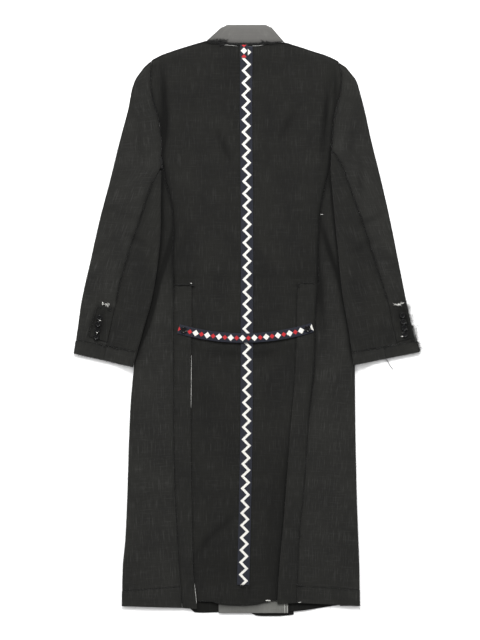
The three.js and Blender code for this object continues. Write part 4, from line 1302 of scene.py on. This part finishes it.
def line_between(*ends):
    """Points along straight pieces between the given (x, down) corners."""
    corners = np.array(ends, float)
    run = np.concatenate([[0], np.cumsum(np.linalg.norm(np.diff(corners, axis=0), axis=1))])

    def points(t):
        s = np.asarray(t, float) * run[-1]
        k = np.clip(np.searchsorted(run, s, side="right") - 1, 0, len(run) - 2)
        u = (s - run[k]) / (run[k + 1] - run[k])
        return mix(corners[k, 0], corners[k + 1, 0], u), mix(corners[k, 1], corners[k + 1, 1], u)

    return points


def stitches(line, skin, count, share=0.62, wobble=0.4, seed=5):
    """A row of running stitches: each covers a share of its pitch and dips at both ends."""
    rng = np.random.default_rng(seed)
    k = np.arange(count)[:, None]
    u = np.linspace(0, 1, 4)[None]
    x, down = line(np.clip((k + share * u) / count, 0, 1))
    x = x + rng.normal(0, wobble, (count, 1))
    down = down + rng.normal(0, wobble, (count, 1))
    return place(x, down, skin(x, down) + 0.35 * np.sin(np.pi * (0.15 + 0.7 * u)))


def cord(points, skin, steps=24):
    """One long thread through a few (x, down) points, at the height that skin gives."""
    x, down = line_between(*points)(np.linspace(0, 1, steps))
    for _ in range(3):
        x[1:-1] = (x[:-2] + 2 * x[1:-1] + x[2:]) / 4
        down[1:-1] = (down[:-2] + 2 * down[1:-1] + down[2:]) / 4
    return place(x, down, skin(x, down))[None]


def above(skin, rise):
    """A skin raised by a few millimetres."""
    return lambda x, down: skin(x, down) + rise


def at_height(height):
    """A level skin."""
    return lambda x, down: height + 0 * x


def seam_frays(frays, side, sign):
    """Frayed seam allowances of one half of the coat."""
    hem = line_between((read(SIDE_SEAM, side, HEM_LINE[side]), HEM_LINE[side]),
                       (read(BODY_EDGE, side, HEM_LINE[side] + 9), HEM_LINE[side] + 9))
    frays.from_line(along(ARMHOLE, side, 80, ARMPIT[side]), body_skin, 420, 2.4)
    frays.from_line(along(ELBOW_SEAM, side, ARMPIT[side] - 10, 590), sleeve_skin, 380, 2.2)
    frays.from_line(along(SIDE_SEAM, side, 305, 1180), body_skin, 460, 1.7)
    inside = along(SLEEVE_INSIDE, side, ARMPIT[side], 690)
    frays.from_line(inside, body_skin, 260, 2.0, one_way=sign)
    frays.from_line(along(VENT_EDGE, side, 556, 1225), body_skin, 160, 1.5, one_way=-sign)
    frays.from_line(hem, body_skin, 170, 1.8)
    sewn = stitches(hem, above(body_skin, 1.0), 20, wobble=0.6, seed=8)
    frays.add(sewn, {"tack": 0.45, "black": 0.55})


def cuff_frays(frays, side, sign):
    """A cuff's frayed raw edge, catch stitches on its turned-up hem and fringe at its end."""
    outer_line, _, inner_line = CUFF_LINE[side]
    outer_end, inner_end = CUFF_END[side]
    top = line_between((read(SLEEVE_EDGE, side, outer_line), outer_line),
                       (read(SLEEVE_INSIDE, side, inner_line), inner_line))
    bottom = line_between((read(SLEEVE_EDGE, side, outer_end), outer_end),
                          (read(SLEEVE_INSIDE, side, inner_end), inner_end))
    frays.from_line(top, sleeve_skin, 200, 1.8)
    frays.from_line(bottom, at_height(5), 150, 1.6, one_way=sign)
    first, last, count = CATCH_STITCHES[side]
    x, down = top(np.linspace(first, last, count))
    catch = line_between(*zip(x, down + np.where(np.arange(count) % 2 == 0, -1.8, 2.4)))
    frays.add(stitches(catch, above(sleeve_skin, 1.4), 2 * count, share=0.85), {"tack": 1})
    edge, (start, end, _) = placket_edge(side), PLACKET[side]

    def opening(t):
        down = mix(start, end - 14, t)
        return edge(down), down

    frays.from_line(opening, above(sleeve_skin, 1.2), 150, 2.6)


def neck_frays(frays):
    """The neck's raw edge: torn and thick at both ends of the collar, thin between them."""
    neck = line_between((-84, 35), (-60, 37.5), (-40, 40.5), (0, 41.5), (40, 40.5), (80, 38))
    frays.from_line(neck, body_skin, 300, 2.4, {"black": 0.8, "tack": 0.15, "grey": 0.05})
    torn = {"tack": 0.5, "black": 0.5}
    frays.from_line(line_between((-83, 36), (-46, 39.5)), above(body_skin, 0.8), 230, 3.8, torn)
    frays.from_line(line_between((-64, 33), (-44, 35)), above(body_skin, 2), 46, 3.4, torn)
    frays.from_line(line_between((-60, 42), (-50, 43)), above(body_skin, 1), 30, 3.0, torn)
    frays.from_line(line_between((30, 40), (48, 39)), above(body_skin, 0.8), 90, 3.4, torn)
    frays.from_line(line_between((18, 42), (60, 41)), above(body_skin, 0.8), 60, 2.0, torn)


def right_cuff_tears(frays):
    """Fringe of the right cuff's outer edge and the torn cloth round its buttons."""
    outer = along(SLEEVE_EDGE, "right", 592, 690, -0.3)
    frays.from_line(outer, at_height(3), 130, 6.5, {"hair_and_glint": 1}, one_way=1)
    frays.from_line(outer, at_height(2), 50, 14.0, {"hair_and_glint": 1}, one_way=1)
    frays.from_line(outer, at_height(5), 70, 2.2, {"black": 0.5, "grey": 0.5}, one_way=1)
    lower = along(SLEEVE_EDGE, "right", 638, 690, -0.3)
    mixed = {"black": 0.45, "grey": 0.4, "tack": 0.15}
    frays.from_line(lower, at_height(5), 170, 3.6, mixed, one_way=1)
    corner = along(SLEEVE_EDGE, "right", 670, 692, 0.5)
    frays.from_line(corner, at_height(6), 70, 4.0, {"tack": 0.6, "black": 0.4})
    torn = {"tack": 0.42, "black": 0.4, "grey": 0.13, "hair_and_glint": 0.05}
    frays.from_line(line_between((329, 608), (336, 664)), above(sleeve_skin, 1.4), 260, 5.0, torn)
    frays.from_line(line_between((342, 632), (352, 668)), above(sleeve_skin, 1.0), 130, 3.6, torn)
    frays.from_line(line_between((312, 594), (338, 588)), above(sleeve_skin, 1.0), 90, 3.0)
    # Pale hair clumps on three of the right cuff's buttons: painted glints.
    for x, down in ((337, 632), (339, 645), (329, 653)):
        frays.clump(x, down, 1.6, 1.6, 2.6, 7, 30, above(sleeve_skin, 4.5), {"hair_and_glint": 1})


def bar_tacks(frays):
    """White and black bar tacks at the cuffs and vents, white ends of thread, and painted button
    highlights.
    """
    tack, end = {"white": 0.9, "grey": 0.1}, {"white": 1}
    on_cuff = above(sleeve_skin, 1.4)
    frays.clump(-295, 594, 6, 4.5, 6, 10, 60, on_cuff, tack)
    frays.clump(-303, 591, 4, 3, 6, 6, 60, on_cuff, tack)
    frays.clump(-291, 592, 3, 3, 5, 4, 120, on_cuff, tack)
    frays.clump(-290, 603, 7, 5, 5, 22, 40, on_cuff, {"tack": 0.5, "black": 0.5})
    frays.clump(-312, 598, 8, 4, 6, 20, 160, on_cuff, {"black": 1})
    frays.clump(319, 592.8, 13, 1.4, 9, 16, -8, on_cuff, tack)
    frays.clump(329, 589.5, 6, 2.6, 5, 9, -35, on_cuff, tack)
    frays.clump(329, 660, 3.5, 1, 5, 9, 0, above(sleeve_skin, 3), end)
    frays.clump(-117, 548, 2.2, 1.2, 3.0, 4, 20, body_skin, end)
    frays.clump(160, 402.3, 4, 0.6, 4, 4, 5, body_skin, {"white": 0.4, "hair_and_glint": 0.6})
    # White clumps on two of the left cuff's buttons: painted highlights.
    frays.clump(-309.5, 626.4, 1.6, 1.6, 2.6, 8, 0, above(sleeve_skin, 4.5), end)
    frays.clump(-315.7, 652.4, 1.6, 1.6, 2.6, 8, 20, above(sleeve_skin, 4.5), end)
    frays.clump(112, 1222, 4, 1, 2.4, 6, 0, above(body_skin, 1), end)
    frays.clump(46, 1218.5, 9, 1, 5, 16, 0, above(back_skin, 1), end)
    frays.clump(-135, 550.5, 30, 2.0, 7, 30, 0, above(body_skin, 0.3), {"tack": 1})
    frays.clump(-114, 552.5, 8, 2.0, 6, 10, 10, above(body_skin, 0.3), {"tack": 1})
    frays.clump(132, 546.5, 24, 1.4, 6, 18, 4, above(body_skin, 0.3), {"tack": 0.6, "black": 0.4})
    frays.clump(111, 552, 4, 8, 6, 9, 110, above(body_skin, 0.3), {"tack": 0.6, "black": 0.4})
    frays.clump(183, 270, 8, 9, 7, 40, 80, above(body_skin, 1.5), {"tack": 0.6, "black": 0.4})
    frays.clump(-181, 294, 5, 20, 8, 90, 85, above(body_skin, 1.5), {"tack": 0.8, "black": 0.2})
    frays.clump(-4, 1188, 24, 2.5, 4, 22, 90, above(body_skin, 0.3), {"tack": 0.5, "black": 0.5})
    frays.clump(112, 1186, 10, 2, 7, 12, 5, above(body_skin, 1.2), {"tack": 1})


def raw_edges(frays):
    """Fringe of the hems that are left uncut."""
    hem = line_between((-132, 1221), (-72, 1222), (-8, 1229), (20, 1227), (54, 1219.5), (100, 1220))
    frays.from_line(hem, back_skin, 260, 2.2, one_way=1)
    frays.from_line(line_between((-264, 1231), (-136, 1235)), at_height(5), 150, 1.8, one_way=1)
    frays.from_line(line_between((106, 1224), (240, 1231)), at_height(5), 150, 2.2, one_way=1)


def neck_edge(finish):
    """Black raw edge of the back's cloth under the collar: a few rough threads side by side."""
    rng = np.random.default_rng(3)
    edges = []
    for k in range(6):
        x = np.linspace(-66, 60, 24)
        down = read(SHOULDER_LINE, "left", np.abs(x), "out") + 0.4 + 0.45 * k
        down = down + rng.normal(0, 0.35, 24)
        edges.append(cord(list(zip(x, down)), above(body_skin, 0.35 + 0.1 * (k % 2)), 40))
    strands("neck_raw_edge", np.concatenate(edges), 0.5, finish, "charcoal_wool")


def slivers():
    """Thin edges of white lining that show at the neck, the left vent and the facing."""
    at_neck, at_vent, low = above(body_skin, 0.6), above(back_skin, 1.0), at_height(5.5)
    paths = [
        cord([(-54, 43), (-40, 44), (-20, 46)], at_neck),
        cord([(12, 45.6), (24, 45.6), (36, 44)], at_neck),
        cord([(-116.6, 700), (-117, 760), (-117.4, 812)], at_vent),
        cord([(-110, 1184), (-107.5, 1206), (-105.6, 1226)], above(back_skin, 1.6)),
        cord([(80.6, 1224), (80.8, 1246)], low),
        cord([(87, 1230), (87, 1246)], low),
    ]
    finish = plain_finish("lining_edge", linear(196, 196, 192), spread=0.15)
    strands("lining_slivers", np.concatenate(paths[:2]), 0.3, finish)
    strands("lining_edges", np.concatenate(paths[2:]), 0.5, finish)


def loose_threads(dark, fine):
    """Single threads that hang from the right cuff and the right hem."""
    cuff_thread = cord([(293, 706), (299, 712), (303, 720), (311, 731)], at_height(1))
    strands("stray_thread_dark", cuff_thread, 0.75, dark, "charcoal_wool")
    thin = [
        cord([(177, 1230), (179, 1244), (178, 1256)], at_height(0.4)),
        cord([(237, 1232), (242, 1242), (247, 1250)], at_height(0.4)),
    ]
    strands("stray_threads_fine", np.concatenate(thin), 0.16, fine, "charcoal_wool")


def sewing(button_threads):
    """Frayed raw edges, bar tacks, stitches, slivers of lining and loose threads."""
    frays = Frays(11)
    for side, sign in SIDES.items():
        seam_frays(frays, side, sign)
        cuff_frays(frays, side, sign)
    left_buttons = line_between((-303, 606), (-318, 668))
    kinds = {"tack": 0.4, "black": 0.55, "grey": 0.05}
    frays.from_line(left_buttons, above(sleeve_skin, 1.6), 150, 3.4, kinds)
    neck_frays(frays)
    right_cuff_tears(frays)
    bar_tacks(frays)
    raw_edges(frays)
    frays.add(np.array(button_threads), {"black": 1})
    finishes = {}
    for kind, (radius, colour, slot) in THREADS.items():
        finishes[kind] = plain_finish(f"thread_{kind}", linear(*colour))
        strands(f"threads_{kind}", np.concatenate(frays.kinds[kind]), radius, finishes[kind], slot)
    neck_edge(finishes["tack"])
    slivers()
    loose_threads(finishes["black"], finishes["grey"])


# The scene and the whole garment

camera()
floor()
lights()

# Levels of one charcoal wool, lighter on the sleeves and skirts and darker on the centre back,
# under the sleeves and on the fronts, which lie in the back's shadow: painted light and shade.
back_wool = charcoal("back", 27.3)
vent_wool = charcoal("vent", 30)
skirt_wool = charcoal("skirt", 32.8)
sleeve_wool = charcoal("sleeve", 33.4)
under_wool = charcoal("under_sleeve", 28.4)
front_wool = charcoal("front", 19)
grey_wool = wool(
    "grey_wool_collar", linear(92, 91, 89), linear(118, 117, 113), linear(78, 77, 75)
)
facing_wool = wool(
    "grey_wool_facing", linear(101, 101, 98), linear(124, 124, 120), linear(88, 88, 85)
)
tape_finish = ribbon("ribbon_zigzag", zigzag_braid)
belt_finish = ribbon("ribbon_lozenge", lozenges)
horn = button_finish()

for side in SIDES:
    front_panel(side, front_wool)
    back_panel(side, back_wool)
    side_panel(side, skirt_wool)
    hem_band(side, skirt_wool)
    vent_strip(side, vent_wool)
    top_sleeve(side, sleeve_wool)
    under_sleeve(side, under_wool)
    cuff(side, sleeve_wool)
    placket(side, under_wool)
collar(grey_wool)
front_facing(facing_wool)
back_tape(tape_finish)
neck_tab(belt_finish)
half_belt(belt_finish)

bars = []
for side, sign in SIDES.items():
    edge, count = placket_edge(side), CUFF_BUTTONS["count"]
    for k in range(count):
        down = CUFF_BUTTONS["first"][side] + k * CUFF_BUTTONS["pitch"]
        x = float(edge(down)) - sign * mix(*CUFF_BUTTONS["inset"], k / (count - 1))
        base = float(sleeve_top(x, down)) + 3 * SEAM + THIN_CLOTH
        bars += button(f"button_{side}_{k + 1}", CUFF_BUTTON, x, down, base, horn)
    x = BELT_ENDS[side] - sign * BELT_BUTTON_INSET
    down = float(belt_line(x)) + BELT_WIDTH / 2
    base = float(belt_base(x)) + RIBBON + SEAM
    bars += button(f"belt_button_{side}", BELT_BUTTON, x, down, base, horn)

sewing([np.linspace(a, b, 4) * (1, -1, 1) + (0, LENGTH / 2, 0) for a, b in bars])
